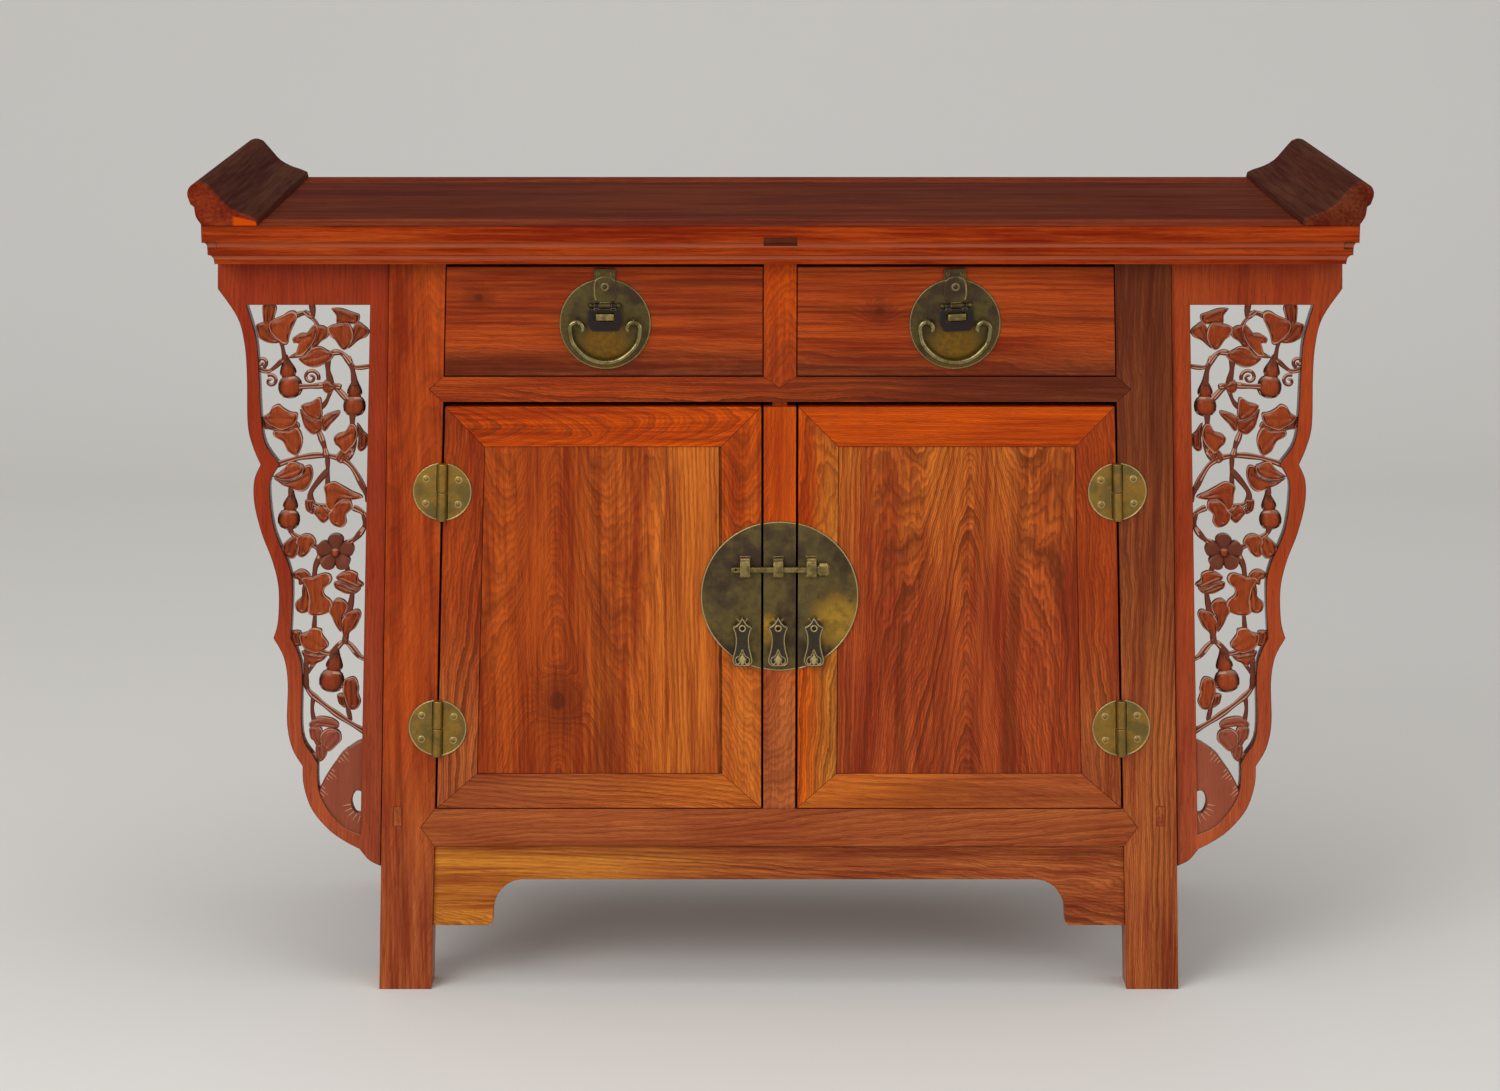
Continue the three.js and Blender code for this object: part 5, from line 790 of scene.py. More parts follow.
# Leaves, fold by fold: how far each stands out, the two ends of its rib, and its outline
LEAF_FOLDS = (
    (1.5, 702, 925, 709, 901, 733, 928, 667, 926, 676, 909, 691, 898, 731, 898, 738, 915),
    (1.5, 745, 893, 672, 872, 774, 896, 731, 900, 694, 900, 698, 889, 672, 879, 628, 870, 657, 867, 708, 868,
     752, 875, 770, 885),
    (3.5, 665, 895, 599, 893, 698, 897, 676, 904, 629, 909, 578, 916, 545, 912, 549, 904, 570, 891, 585, 879,
     595, 869, 628, 870, 668, 879, 694, 888),
    (3, 519, 875, 461, 879, 559, 875, 519, 882, 483, 883, 454, 892, 426, 895, 421, 885, 442, 871, 467, 861,
     511, 849, 547, 849, 526, 857, 529, 867, 555, 868),
    (2, 395, 889, 424, 869, 432, 894, 388, 894, 359, 887, 366, 877, 402, 869, 424, 862, 453, 861, 439, 873,
     428, 885),
    (1, 547, 847, 489, 855, 587, 843, 547, 851, 496, 857, 460, 861, 482, 851, 525, 844),
    (3, 489, 841, 365, 849, 525, 842, 489, 848, 445, 858, 402, 860, 358, 854, 328, 849, 343, 841, 386, 834,
     430, 830, 466, 830, 503, 835),
    (3.5, 279, 893, 263, 865, 355, 890, 330, 896, 286, 898, 250, 899, 224, 891, 216, 877, 227, 867, 256, 857,
     285, 861, 315, 873, 337, 879),
    (1.5, 287, 915, 214, 905, 335, 921, 287, 922, 222, 916, 181, 911, 192, 899, 243, 898, 286, 899, 308, 901,
     310, 911),
    (2, 170, 891, 212, 869, 212, 889, 185, 900, 148, 894, 124, 887, 140, 878, 183, 871, 212, 864, 237, 859,
     220, 873),
    (2, 363, 799, 326, 797, 391, 799, 363, 807, 326, 799, 291, 800, 322, 792, 346, 786, 377, 790),
    (4, 691, 746, 566, 745, 727, 748, 698, 754, 680, 762, 644, 766, 610, 760, 574, 755, 536, 753, 537, 744,
     551, 736, 588, 731, 632, 729, 676, 734, 716, 742),
    (1, 698, 730, 565, 726, 733, 745, 690, 734, 632, 728, 580, 730, 538, 738, 525, 730, 551, 725, 595, 723,
     653, 724, 697, 727, 728, 730),
    (2.5, 609, 720, 539, 697, 661, 724, 587, 725, 544, 729, 525, 724, 505, 710, 512, 697, 535, 686, 579, 691,
     601, 702, 624, 710, 664, 717),
    (4, 471, 764, 412, 750, 508, 766, 457, 771, 406, 778, 394, 762, 389, 750, 405, 743, 449, 747, 489, 755),
    (2, 478, 744, 419, 728, 515, 758, 471, 748, 412, 742, 381, 741, 388, 730, 403, 723, 441, 720, 478, 728,
     500, 740),
    (2.5, 368, 738, 310, 751, 390, 744, 368, 750, 332, 755, 292, 757, 286, 752, 310, 744, 339, 736, 368, 726,
     386, 730),
    (3.5, 286, 712, 213, 722, 316, 713, 294, 720, 250, 724, 221, 735, 192, 732, 182, 718, 198, 706, 227, 697,
     256, 691, 293, 701, 310, 706),
    (1, 155, 722, 150, 700, 181, 736, 147, 724, 119, 715, 126, 700, 153, 692, 177, 697, 173, 714),
    (2, 249, 691, 274, 677, 271, 694, 227, 697, 212, 692, 232, 683, 255, 673, 294, 675, 300, 683),
    (4, 622, 653, 520, 663, 666, 651, 637, 657, 600, 665, 579, 673, 549, 674, 520, 671, 498, 668, 497, 661,
     519, 653, 556, 648, 600, 646, 644, 648),
    (2, 592, 639, 468, 653, 659, 646, 600, 643, 548, 645, 505, 653, 487, 665, 454, 667, 441, 653, 460, 638,
     496, 629, 548, 630, 600, 635, 637, 641),
    (3.5, 334, 628, 216, 619, 368, 634, 320, 641, 261, 634, 209, 626, 150, 618, 201, 613, 253, 614, 290, 610,
     326, 597, 352, 602, 360, 620),
    (4, 253, 604, 296, 577, 297, 606, 260, 612, 216, 610, 212, 599, 243, 589, 243, 577, 266, 569, 303, 570,
     333, 579, 340, 589, 319, 596),
    (2.5, 399, 591, 362, 585, 429, 592, 392, 604, 354, 596, 339, 589, 346, 581, 377, 575, 406, 583),
    (1.5, 460, 608, 451, 595, 483, 610, 459, 614, 435, 610, 440, 602, 425, 591, 451, 590, 477, 597),
    (3.5, 479, 548, 490, 527, 516, 552, 479, 556, 442, 553, 422, 544, 445, 536, 462, 526, 493, 519, 523, 523,
     517, 536, 529, 544),
    (2, 553, 546, 578, 526, 608, 538, 575, 548, 538, 553, 517, 540, 529, 528, 552, 517, 596, 520, 610, 530),
    (2, 522, 490, 484, 480, 551, 491, 514, 497, 477, 495, 453, 486, 477, 476, 510, 473, 521, 481, 545, 484),
    (3.5, 418, 480, 394, 428, 492, 482, 440, 485, 418, 487, 359, 491, 331, 484, 342, 474, 369, 466, 366, 455,
     326, 445, 326, 430, 371, 424, 423, 422, 453, 428, 446, 445, 462, 466),
    (3, 477, 468, 498, 432, 484, 476, 458, 461, 452, 445, 461, 430, 490, 426, 526, 430, 529, 443, 498, 453,
     495, 466),
    (3.5, 263, 486, 166, 474, 292, 486, 255, 493, 211, 495, 172, 490, 165, 480, 135, 473, 158, 468, 195, 470,
     240, 476, 281, 480),
    (1.5, 277, 471, 187, 461, 303, 476, 255, 476, 210, 468, 154, 466, 180, 458, 232, 458, 278, 463, 303, 469),
    (3, 279, 443, 270, 405, 313, 443, 291, 449, 254, 447, 229, 439, 236, 428, 255, 418, 261, 396, 289, 403,
     312, 418, 328, 426, 326, 437),
    (3, 178, 424, 233, 391, 227, 425, 171, 431, 147, 424, 162, 412, 183, 401, 213, 393, 227, 381, 253, 393,
     256, 410, 238, 420),
    (4, 466, 385, 369, 370, 504, 389, 467, 393, 430, 400, 385, 397, 376, 389, 353, 380, 338, 372, 362, 365,
     406, 361, 458, 365, 496, 376),
    (1.5, 530, 390, 522, 376, 550, 395, 504, 394, 507, 383, 494, 374, 519, 370, 552, 376, 559, 387),
    (2, 465, 354, 384, 350, 492, 361, 428, 358, 384, 356, 350, 354, 369, 347, 404, 342, 428, 338, 458, 342,
     480, 351),
    (3, 200, 309, 187, 274, 233, 314, 189, 318, 166, 312, 157, 301, 158, 291, 145, 278, 164, 267, 201, 265,
     224, 278, 240, 291, 242, 303),
    (1.5, 258, 284, 239, 272, 281, 288, 240, 289, 232, 278, 215, 267, 246, 269, 270, 275),
    (1.5, 402, 242, 297, 238, 443, 240, 410, 249, 365, 251, 305, 247, 271, 238, 290, 231, 335, 235, 387, 235,
     432, 233),
    (3.5, 297, 223, 341, 204, 373, 221, 342, 230, 297, 231, 265, 225, 258, 215, 289, 204, 326, 195, 356, 198,
     372, 208),
    (2.5, 417, 230, 394, 211, 443, 232, 394, 235, 370, 227, 377, 213, 393, 202, 416, 211, 435, 217),
    (2, 382, 200, 374, 183, 404, 203, 371, 205, 344, 194, 351, 183, 377, 177, 400, 185),
)
FOOT_LEAF = (
    390, 118, 370, 137, 335, 156, 287, 176, 228, 196, 100, 210, 100, 132, 160, 127, 185, 109, 160, 90, 100,
    86, 100, 45, 230, 55, 340, 80,
)
FLOWER = (301, 526)
FLOWER_RADIUS = 20.608
# Curls: place, reach in millimetres, first angle in degrees, and turns
CURLS = ((455, 812, 8.5, 200, -1.4), (690, 806, 7.0, 60, 1.2), (745, 836, 6.0, 250, -1.2))
# Gourds: place, size, and lean in degrees
GOURDS = ((578, 796, 1.0, 9), (201, 765, 0.92, 0), (580, 580, 0.92, -6), (317, 312, 1.05, -9))
# Reach and rise from a gourd's foot, as shares of its radius and height
GOURD_PROFILE = (
    (0, 0), (0.3, 0.012), (0.7, 0.06), (0.94, 0.16), (1, 0.27), (0.94, 0.38), (0.76, 0.47), (0.55, 0.515),
    (0.58, 0.55), (0.68, 0.6), (0.66, 0.67), (0.53, 0.76), (0.37, 0.85), (0.24, 0.94), (0.17, 1.02),
    (0, 1.04),
)
VINES = (
    (700, 665, 520, 681, 360, 684, 230, 672, 140, 632, 110, 610),
    (360, 682, 375, 700, 410, 726, 420, 750),
    (355, 682, 352, 655, 355, 620),
    (455, 930, 450, 910, 500, 915, 600, 905),
    (500, 918, 430, 900, 420, 880),
    (635, 875, 620, 855, 600, 825),
    (620, 840, 700, 822, 770, 826),
    (440, 840, 350, 850, 280, 850, 220, 830, 200, 800),
    (240, 845, 200, 828, 100, 830),
    (360, 845, 355, 820, 330, 800, 280, 796),
    (570, 796, 450, 797, 330, 797, 240, 775),
    (330, 800, 360, 775, 400, 760),
    (210, 760, 210, 730, 200, 700, 240, 678),
    (570, 620, 570, 640),
    (355, 660, 450, 625, 430, 605, 350, 600),
    (200, 600, 140, 590, 130, 570, 180, 550, 235, 540),
    (570, 570, 550, 555, 400, 530, 420, 500, 430, 470),
    (250, 512, 220, 490, 200, 460, 220, 420, 240, 375),
    (420, 460, 420, 420, 430, 380),
    (430, 370, 330, 358, 240, 377, 150, 353, 110, 350),
    (320, 360, 310, 340),
    (460, 370, 470, 325, 460, 298, 380, 277, 250, 250, 110, 225),
    (380, 360, 460, 325),
    (240, 310, 220, 270, 200, 245),
    (310, 310, 220, 300),
    (420, 290, 430, 262, 400, 225),
    (360, 210, 400, 185, 420, 190),
    (200, 200, 250, 170, 280, 140),
)


def spots(*row):
    """The places of a row, in millimetres out from the leg and up from the floor."""
    return [(SPANDREL_WIDTH * (out / 1000), SPANDREL_FOOT + SPANDREL_HEIGHT * (up / 1000))
            for out, up in zip(row[::2], row[1::2])]


def leaned(data, side):
    """Leans what is drawn upright out from X zero, so that it follows the leg's outer face."""
    for vertex in data.vertices:
        z = vertex.co.z / MM
        vertex.co.x = side * (vertex.co.x + leg_edge(LEG_OUTER, z) * MM)
    if side < 0:
        data.flip_normals()
    return data


def upright(data, depth=0.0):
    """Stands a flat drawing up in the plane of the carving, its front towards the viewer."""
    return placed(data, facing(0, SPANDREL_MIDDLE + depth, 0))


def edge_points(runs):
    """Points along smooth runs that meet at corners."""
    points = []
    for run in runs:
        points += [tuple(p) for p in smooth_run(spots(*run), 5)][:-1]
    return points + spots(*runs[-1])[-1:]


def spandrel_frame(bead):
    outer = [(0.3, SPANDREL_FOOT + SPANDREL_HEIGHT)] + spots(1000, 1000) + edge_points(OUTER_EDGE)
    window = spots(*WINDOW_CORNER) + edge_points(WINDOW_EDGE)
    return upright(plate([outer, window], SPANDREL_THICKNESS, bead, 4))


def leaf_fold(row, lift, crown, furrow):
    """One fold of a leaf: crowned over its rib, with furrows that run out to a turned-up rim. Its rim takes
    painted shade and the lip inside it a painted highlight.
    """
    start, end, *outline = (Vector(spot) for spot in spots(*row))
    rim = smooth_run(outline, 4, closed=True)
    line = end - start
    count = len(rim)
    waves = max(5, count // 7)
    rings = [[(edge.x, SPANDREL_MIDDLE + 4, edge.y) for edge in rim]]
    for share in (1, 0.94, 0.9, 0.84, 0.74, 0.6, 0.42, 0.24, 0.08):  # from the rim in to the rib
        ring = []
        for i, edge in enumerate(rim):
            along = min(max((edge - start).dot(line) / line.length_squared, 0), 1)
            rib = start + line * along
            spot = rib + (edge - rib) * share * LEAF_SPREAD
            height = lift + crown * (1 - share ** 2.6) - furrow * math.exp(-(share / 0.2) ** 2)
            height += 0.55 * furrow * math.sin(2 * math.pi * waves * i / count) * share * share
            height += 0.7 * furrow * math.exp(-((share - 0.88) / 0.07) ** 2)
            ring.append((spot.x, SPANDREL_MIDDLE - height, spot.y))
        rings.append(ring)
    data = lofted(rings)
    core = CROWN if start.y > PALE_LEAF_TOP else PALE_LOW
    for number, face in enumerate(data.polygons):
        band = number // count
        face.material_index = (STEM_AND_SHADE, STEM_AND_SHADE, LIP, LIP)[band] if band < 4 else core
    return data


def flower_form(radius):
    """A flower drawn flat: cupped petals round a boss."""
    petals = 5
    depth = 7.0
    around = 80
    rows = 7
    front = []
    for row in range(1, rows + 1):
        share = row / rows
        ring = []
        for k in range(around):
            angle = 2 * math.pi * k / around + math.pi / 2
            petal = abs(math.cos((angle - math.pi / 2) * petals / 2)) ** 0.55
            reach = radius * (0.7 + 0.32 * petal)
            height = 5.5 * share ** 1.6 * (0.35 + 0.65 * petal) - 2.6 * share * (1 - petal)
            height -= 1.6 * max(0, (share - 0.8) / 0.2)
            ring.append((reach * share * math.cos(angle), reach * share * math.sin(angle), height))
        front.append(ring)
    back = [(x, y, -depth) for x, y, _ in front[-1]]
    cup = finished(lofted([[(0, 0, 0)]] + front + [back]), STEM_AND_SHADE)
    boss = finished(dome(radius * 0.27, 5.2, 1.0, 5), CROWN)
    return joined("flower", [cup, boss])


def gourd_form(radius, height, flatten):
    profile = [(radius * out, height * (rise - 0.28)) for out, rise in GOURD_PROFILE]
    return turned(profile, 28, flatten)


def highlighted_faces(data, least):
    """Gives the lip's finish, a painted highlight, to the faces that look up and forward, and a painted
    reflection to the crescents below.
    """
    light = Vector((-0.25, -0.6, 0.75)).normalized()
    for face in data.polygons:
        crescent = face.normal.z < -0.35 and -0.72 < face.normal.y < -0.5
        if face.normal.dot(light) > least or (crescent and least > 0.9):
            face.material_index = LIP
    return data


# Stems, with a painted highlight along the faces that look up and forward
def stem(points, radii, sides, **groove):
    return highlighted_faces(finished(tube(points, radii, sides, **groove), STEM_AND_SHADE), 0.74)


def vine_form(run, radius, lift):
    points = []
    for i, (x, z) in enumerate(run):
        wave = lift * math.sin(2.1 * i + 0.7)
        points.append((x, SPANDREL_MIDDLE - 2.5 - wave, z))
    path = smooth_run(points, 6)
    radii = [radius * (0.86 + 0.14 * math.sin(0.9 * i)) for i in range(len(path))]
    return stem(path, radii, 16, groove=0.3)


def curl_form(x, z, reach, start, turns):
    """A tendril that winds in on itself."""
    steps = 26
    points = []
    radii = []
    for step in range(steps + 1):
        share = step / steps
        angle = math.radians(start) + 2 * math.pi * turns * share
        arm = reach * (1 - 0.82 * share)
        points.append((x + arm * math.cos(angle), SPANDREL_MIDDLE - 3 - 3 * share, z + arm * math.sin(angle)))
        radii.append(2.2 - 0.7 * step / steps)
    return stem(points, radii, 12)


def fine_cut(ends):
    return finished(tube([(p.x, SPANDREL_MIDDLE - 6.3, p.y) for p in ends], [0.7, 0.55, 0.25], 8), LIP)


def foot_hatching():
    """Fine cuts where the foot leaf curls over: along its upper edge and round its eye, in the lip's painted
    highlight.
    """
    parts = []
    edge = smooth_run(spots(*FOOT_LEAF[:12]), 4)
    heart, eye = (Vector(spot) for spot in spots(100, 140, 100, 109))
    for number, spot in enumerate(edge[1:-3]):
        if number % 6 > 3:
            continue
        inward = (heart - spot).normalized()
        bent = Vector((inward.x * 0.9 - 0.25, -1)).normalized()
        parts.append(fine_cut([spot + bent * step for step in (1.5, 4, 6 + 3 * (number % 3))]))
    for step in range(6):
        angle = math.radians(-10 - 15 * step)
        out = Vector((math.cos(angle), math.sin(angle)))
        parts.append(fine_cut([eye + out * reach for reach in (17, 21, 26)]))
    return parts


# Depths between which the carving darkens into painted shade, and heights between which the frame pales into
# painted light, in metres
SHADOWED_DEPTHS = (-0.1835, -0.1765)
LIT_FOOT_HEIGHTS = (0.5, 0.22)


def carving_material(name, carving, high, share=0.0, low=None):
    """Waxed carving, in another colour towards its foot if one is given, as painted light on the lower frame.

    The share of the high colour is the same all over, for the painted highlight of lips and the painted shade
    of rims.
    """
    material, tree, shader = new_material(name)
    spot = split(object_place(tree))
    relief = use_group(tree, "Carved relief", {})
    # Towards its foot the frame pales, as painted light
    high = mixed(relief["Low"], high, low) if low else high
    # The figure turns to the deep colour further back, as painted shade in the recesses
    figure = use_group(tree, "Hardwood figure", {
        "Place": combined(spot[2], spot[0], spot[1]), "Start": high, "End": carving.deep,
        "Turnover": ranged(spot[1], *SHADOWED_DEPTHS), "Line": carving.deep, "Ring Width": 0.0042,
        "Heart Across": 0.3, "Heart Depth": 0.5, "Taper": 0.02, "Wobble": 0.01, "Ring Strength": 0.25,
        "Streaks": 0.35, "Dark Bands": 0.15, "Seed": 31.4})
    edge = use_group(tree, "Rubbed arris", {"Radius": 0.0012})["Edge"]
    # Painted shade on faces turned away from the front
    colour = mixed(times(relief["Turned Away"], 0.85), figure["Colour"], carving.deep)
    # Painted highlight on the faces that look up and forward
    colour = mixed(times(relief["Upward"], 0.6), colour, carving.glint)
    # Painted highlight along the arrises
    colour = mixed(times(edge, 0.55), colour, carving.rubbed)
    if share:
        colour = mixed(share, colour, high)
    fill(shader, {
        "Base Color": colour, "Roughness": plus(figure["Roughness"], 0.22), "Specular IOR Level": WAX,
        "Specular Tint": carving.sheen, "Normal": raised(figure["Height"], 0.3, 0.0003)})
    return material


def spandrel_mesh(side, carving):
    parts = [spandrel_frame(carving.bead / MM)]
    for row in VINES:
        run = spots(*row)
        radius, lift = (carving.vine, 1.2) if len(run) > 3 else (carving.tendril, 0.6)
        parts.append(vine_form(run, radius / MM, lift))
    for out, up, *shape in CURLS:
        parts.append(curl_form(*spots(out, up)[0], *shape))
    for lift, *row in LEAF_FOLDS:
        parts.append(leaf_fold(row, lift, carving.leaf_rise / MM, carving.furrow / MM))
    foot = [tuple(p) for p in smooth_run(spots(*FOOT_LEAF), 4, closed=True)]
    parts.append(finished(upright(plate([foot], 13, 2.4, 5)), PALE_LOW))
    parts += foot_hatching()
    x, z = spots(*FLOWER)[0]
    parts.append(placed(upright(flower_form(FLOWER_RADIUS), -4.5), at(x, 0, z)))
    for out, up, size, swing in GOURDS:
        gourd = gourd_form(size * carving.gourd_radius / MM, size * carving.gourd_height / MM, 0.66)
        x, z = spots(out, up)[0]
        # Each gourd has a painted highlight on top and painted reflections in the crescents below
        parts.append(placed(highlighted_faces(finished(gourd, CROWN), 0.965), at(x, SPANDREL_MIDDLE, z)
                            @ Matrix.Rotation(math.radians(swing), 4, "Y")))
    return rounded(leaned(joined("spandrel", parts), side), 50)


class CABINET_OT_spandrels(bpy.types.Operator):
    """Carves the two openwork spandrels with gourds on the vine"""
    bl_idname = "cabinet.spandrels"
    bl_label = "Carve the spandrels"

    def execute(self, context):
        carving = context.scene.cabinet_carving
        # Shared finishes: stems, also painted shade on leaf rims; the painted highlight; leaf crowns; the
        # pale foot leaf
        shared = [carving_material("carved_shade", carving, carving.stem, 0.75),
                  carving_material("carved_lip", carving, carving.glint, 0.75),
                  carving_material("carved_leaf", carving, carving.leaf),
                  carving_material("carved_foot", carving, carving.pale_low, 0.55)]
        for name, side in SIDES:
            # The right spandrel takes painted light in its lighter, warmer colour
            high = carving.high if side < 0 else carving.lit_right
            main = carving_material(f"carved_hardwood_{name}", carving, high, low=carving.foot)
            piece(f"carved_spandrel_{name}", spandrel_mesh(side, carving), "frame",
                  [main] + shared, f"spandrel_{name}")
        return {"FINISHED"}


# Brass

# The finishes of a fitting, after that of its plate
RIM, WORN = 1, 2


def brass_material(name, brass, rubbed=0.0, seed=0.0, olive=None, brown=None, gold=None, clouds=22.0,
                   patch=None, shine=0.0):
    """Aged brass. A patch gives the centre, in X and Z, and the reach of a rubbed gold area."""
    material, tree, shader = new_material(name)
    place = object_place(tree)
    mask = rubbed
    if patch:
        x, z, reach = patch
        mask = use_group(tree, "Rubbed patch", {
            "Place": place, "Middle": (x * MM, 0, z * MM), "Reach": reach * MM, "Least": rubbed})["Rubbed"]
    patina = use_group(tree, "Brass patina", {
        "Place": place, "Olive": olive or brass.olive, "Brown": brown or brass.brown,
        "Gold": gold or brass.gold, "Rubbed": mask, "Clouds": clouds, "Seed": seed})
    arris = use_group(tree, "Rubbed arris", {"Radius": 0.0014})
    fill(shader, {
        "Base Color": mixed(times(arris["Edge"], 0.75), patina["Colour"], brass.pale),
        "Roughness": minus(patina["Roughness"], shine), "Metallic": 0.85,
        "Normal": raised(patina["Height"], 0.4, 0.0003, Normal=arris["Normal"])})
    return material


def nail(radius, x, y, z):
    return placed(dome(radius, radius * 0.5, 0.4), facing(x, y, z))


def front_plate(loops, thickness, rim, x, y, z):
    """A plate on the cabinet's front, with its middle at the place."""
    return placed(plate(loops, thickness, rim), facing(x, y, z))


def barrel(profile, x, y, z, steps=20):
    """Turned about a line that lies across the cabinet."""
    return placed(turned(profile, steps), at(x, y, z) @ quarter_turn("Y"))


def mirrored(points):
    return [(-across, up) for across, up in reversed(points)]


def rim_line(points, radius=0.5):
    """A raised bright line."""
    return finished(tube(points, radius, 8), RIM)


def closed_line(points, radius, x, y, z):
    """A raised bright line all the way round an outline on the cabinet's front."""
    path = [(x + across, y, z + up) for across, up in points]
    return rim_line(path + path[:1], radius)


def rim_material(brass):
    """Rubbed bright brass of rims and raised lines, made once."""
    return bpy.data.materials.get("rim_brass") or brass_material(
        "rim_brass", brass, 0.6, 21.0, olive=brass.pale, brown=brass.hinge, gold=brass.pale, clouds=90.0)


HINGES = (("upper", 567.0), ("lower", 302.5))
HINGE_RADIUS = 32.0
HINGE_NAIL = (17.5, 13.5)
BARREL_RADIUS = 5.0
PLATE_THICKNESS = 1.5


def hinge_leaf(side, end, brass):
    """One leaf, drawn upright about the pin: a half disc, its knuckle and two nails."""
    edge = BARREL_RADIUS + 0.3
    reach = math.acos(edge / HINGE_RADIUS)
    front = BARREL_RADIUS - PLATE_THICKNESS
    middle = BARREL_RADIUS - PLATE_THICKNESS / 2
    outline = [(side * x, z) for x, z in circle(HINGE_RADIUS, 64, (0, 0), -reach, reach)]
    half = math.sqrt(HINGE_RADIUS ** 2 - edge ** 2)
    low, high = (0.15, half) if end == "upper" else (-half, -0.15)
    soft = 0.6
    profile = [(0, low), (BARREL_RADIUS - soft, low), (BARREL_RADIUS, low + soft),
               (BARREL_RADIUS, high - soft), (BARREL_RADIUS - soft, high), (0, high)]
    tab = edge + 1.6
    parts = [front_plate([outline], PLATE_THICKNESS, brass.rim / MM, 0, middle, 0), turned(profile, 28),
             rounded_box((tab, PLATE_THICKNESS, high - low), 0.3, (side * tab / 2, middle, (low + high) / 2))]
    for up in (-1, 1):
        spot = (side * HINGE_NAIL[0], front, up * HINGE_NAIL[1])
        parts += [nail(brass.nail / MM, *spot), closed_line(circle(3.3, 20), 0.45, *spot)]
    arc = circle(HINGE_RADIUS - 0.9, 48, (0, 0), -reach, reach)
    parts.append(rim_line([(side * a, front, b) for a, b in arc]))
    return joined("hinge_leaf", parts)


class CABINET_OT_hinges(bpy.types.Operator):
    """Makes the four round hinges, each of two leaves"""
    bl_idname = "cabinet.hinges"
    bl_label = "Make the hinges"

    def execute(self, context):
        brass = context.scene.cabinet_brass
        rims = rim_material(brass)
        for name, side in SIDES:
            for level, height in HINGES:
                middle = leg_edge(LEG_INNER, height) - 1.25
                place = (at(side * middle, FACE - BARREL_RADIUS, height)
                         @ Matrix.Rotation(-side * LEAN, 4, "Y"))
                material = brass_material(f"hinge_brass_{level}_{name}", brass, 0.3, side * 0.7 + height * MM,
                                          olive=brass.hinge, brown=brass.olive, clouds=40.0)
                for which, end, body, out in (("leg", "upper", "frame", side),
                                              ("door", "lower", f"door_{name}", -side)):
                    hinge = f"hinge_{level}_{name}_{which}"
                    piece(hinge, rounded(placed(hinge_leaf(out, end, brass), place)), body,
                          [material, rims], f"{hinge}_leaf")
        return {"FINISHED"}


LOCK_MIDDLE = 450.7
LOCK_RADIUS = 83.5
LOCK_SPREAD = 2.5
FITTING_SHIFT = -1.5
STAPLE_SPACING = 36
PENDANT_SPACING = 39
PENDANT_PIN = 424.5
BAR_HEIGHT = 481.9
BAR_DEPTH = -197.1
# The lock's parts: step from the middle, body, the cuts of the disc, and its rubbed patch
LOCK_PARTS = (
    ("left", -1, "door_left", (-200, -20), None),
    ("post", 0, "frame", (-17.5, 17.5), (-14, 414, 30)),
    ("right", 1, "door_right", (20, 200), (64, 424, 54)),
)


def disc_slice(radius, low, high):
    """The outline of a disc between two upright cuts."""
    points = [(x, z) for x, z in circle(radius, 384) if low <= x <= high]
    for edge in (low, high):
        if abs(edge) < radius:
            rise = math.sqrt(radius ** 2 - edge ** 2)
            points += [(edge, rise), (edge, -rise)]
    middle = (max(low, -radius) + min(high, radius)) / 2
    return sorted(points, key=lambda p: math.atan2(p[1], p[0] - middle))


def staple(x):
    """A broad strap bent over the bar, its ends through the plate, its upper lip turned up."""
    width = 10.4
    half = 0.85
    foot = 473.5
    head = 495.5
    run = [(-0.2, foot + 0.8), (2.2, foot + 0.6), (8.4, foot + 0.9), (10.3, foot + 3.0), (10.6, BAR_HEIGHT),
           (10.3, head - 8.2), (8.8, head - 5.2), (6.4, head - 3.4), (4.2, head - 1.6), (-0.2, head - 1.2)]
    path = smooth_run(run, 4)
    rings = []
    for before, spot, after in zip(path[:1] + path, path, path[1:] + path[-1:]):
        along = (after - before).normalized()
        normal = Vector((along.y, -along.x)) * half
        edges = [(x + across * width / 2, spot + normal * out)
                 for across, out in ((-1, -1), (1, -1), (1, 1), (-1, 1))]
        rings.append([(across, PLATE_FRONT - edge.x, edge.y) for across, edge in edges])
    return lofted(rings)


def wire_staple(x):
    """The small wire loop that a pendant hangs from."""
    out = PLATE_FRONT - 5
    run = []
    for across, depth in ((-5, PLATE_FRONT + 0.6), (-5, out + 1.6), (-4.4, out + 0.4), (-3.2, out),
                          (3.2, out), (4.4, out + 0.4), (5, out + 1.6), (5, PLATE_FRONT + 0.6)):
        run.append((x + across, depth, PENDANT_PIN))
    return tube(run, 1.0, 12)


def lock_plate(which, step, cuts, brass):
    spread = step * LOCK_SPREAD
    low, high = (cut - spread for cut in cuts)
    parts = [front_plate([disc_slice(LOCK_RADIUS, low, high)], PLATE_THICKNESS, brass.rim / MM,
                         spread, PLATE_FRONT + PLATE_THICKNESS / 2, LOCK_MIDDLE),
             finished(staple(FITTING_SHIFT + step * STAPLE_SPACING), WORN),
             finished(wire_staple(FITTING_SHIFT + step * PENDANT_SPACING), WORN)]
    arc = [(a, b) for a, b in circle(LOCK_RADIUS - 0.8, 360) if low + 0.3 < a < high - 0.3]
    upper = sorted(p for p in arc if p[1] >= 0)
    lower = sorted(p for p in arc if p[1] < 0)
    for run in {"left": [upper[::-1] + lower], "post": [upper, lower[::-1]],
                "right": [upper + lower[::-1]]}[which]:
        parts.append(rim_line([(a + spread, PLATE_FRONT, LOCK_MIDDLE + b) for a, b in run]))
    return rounded(joined(f"lock_plate_{which}", parts), 32)


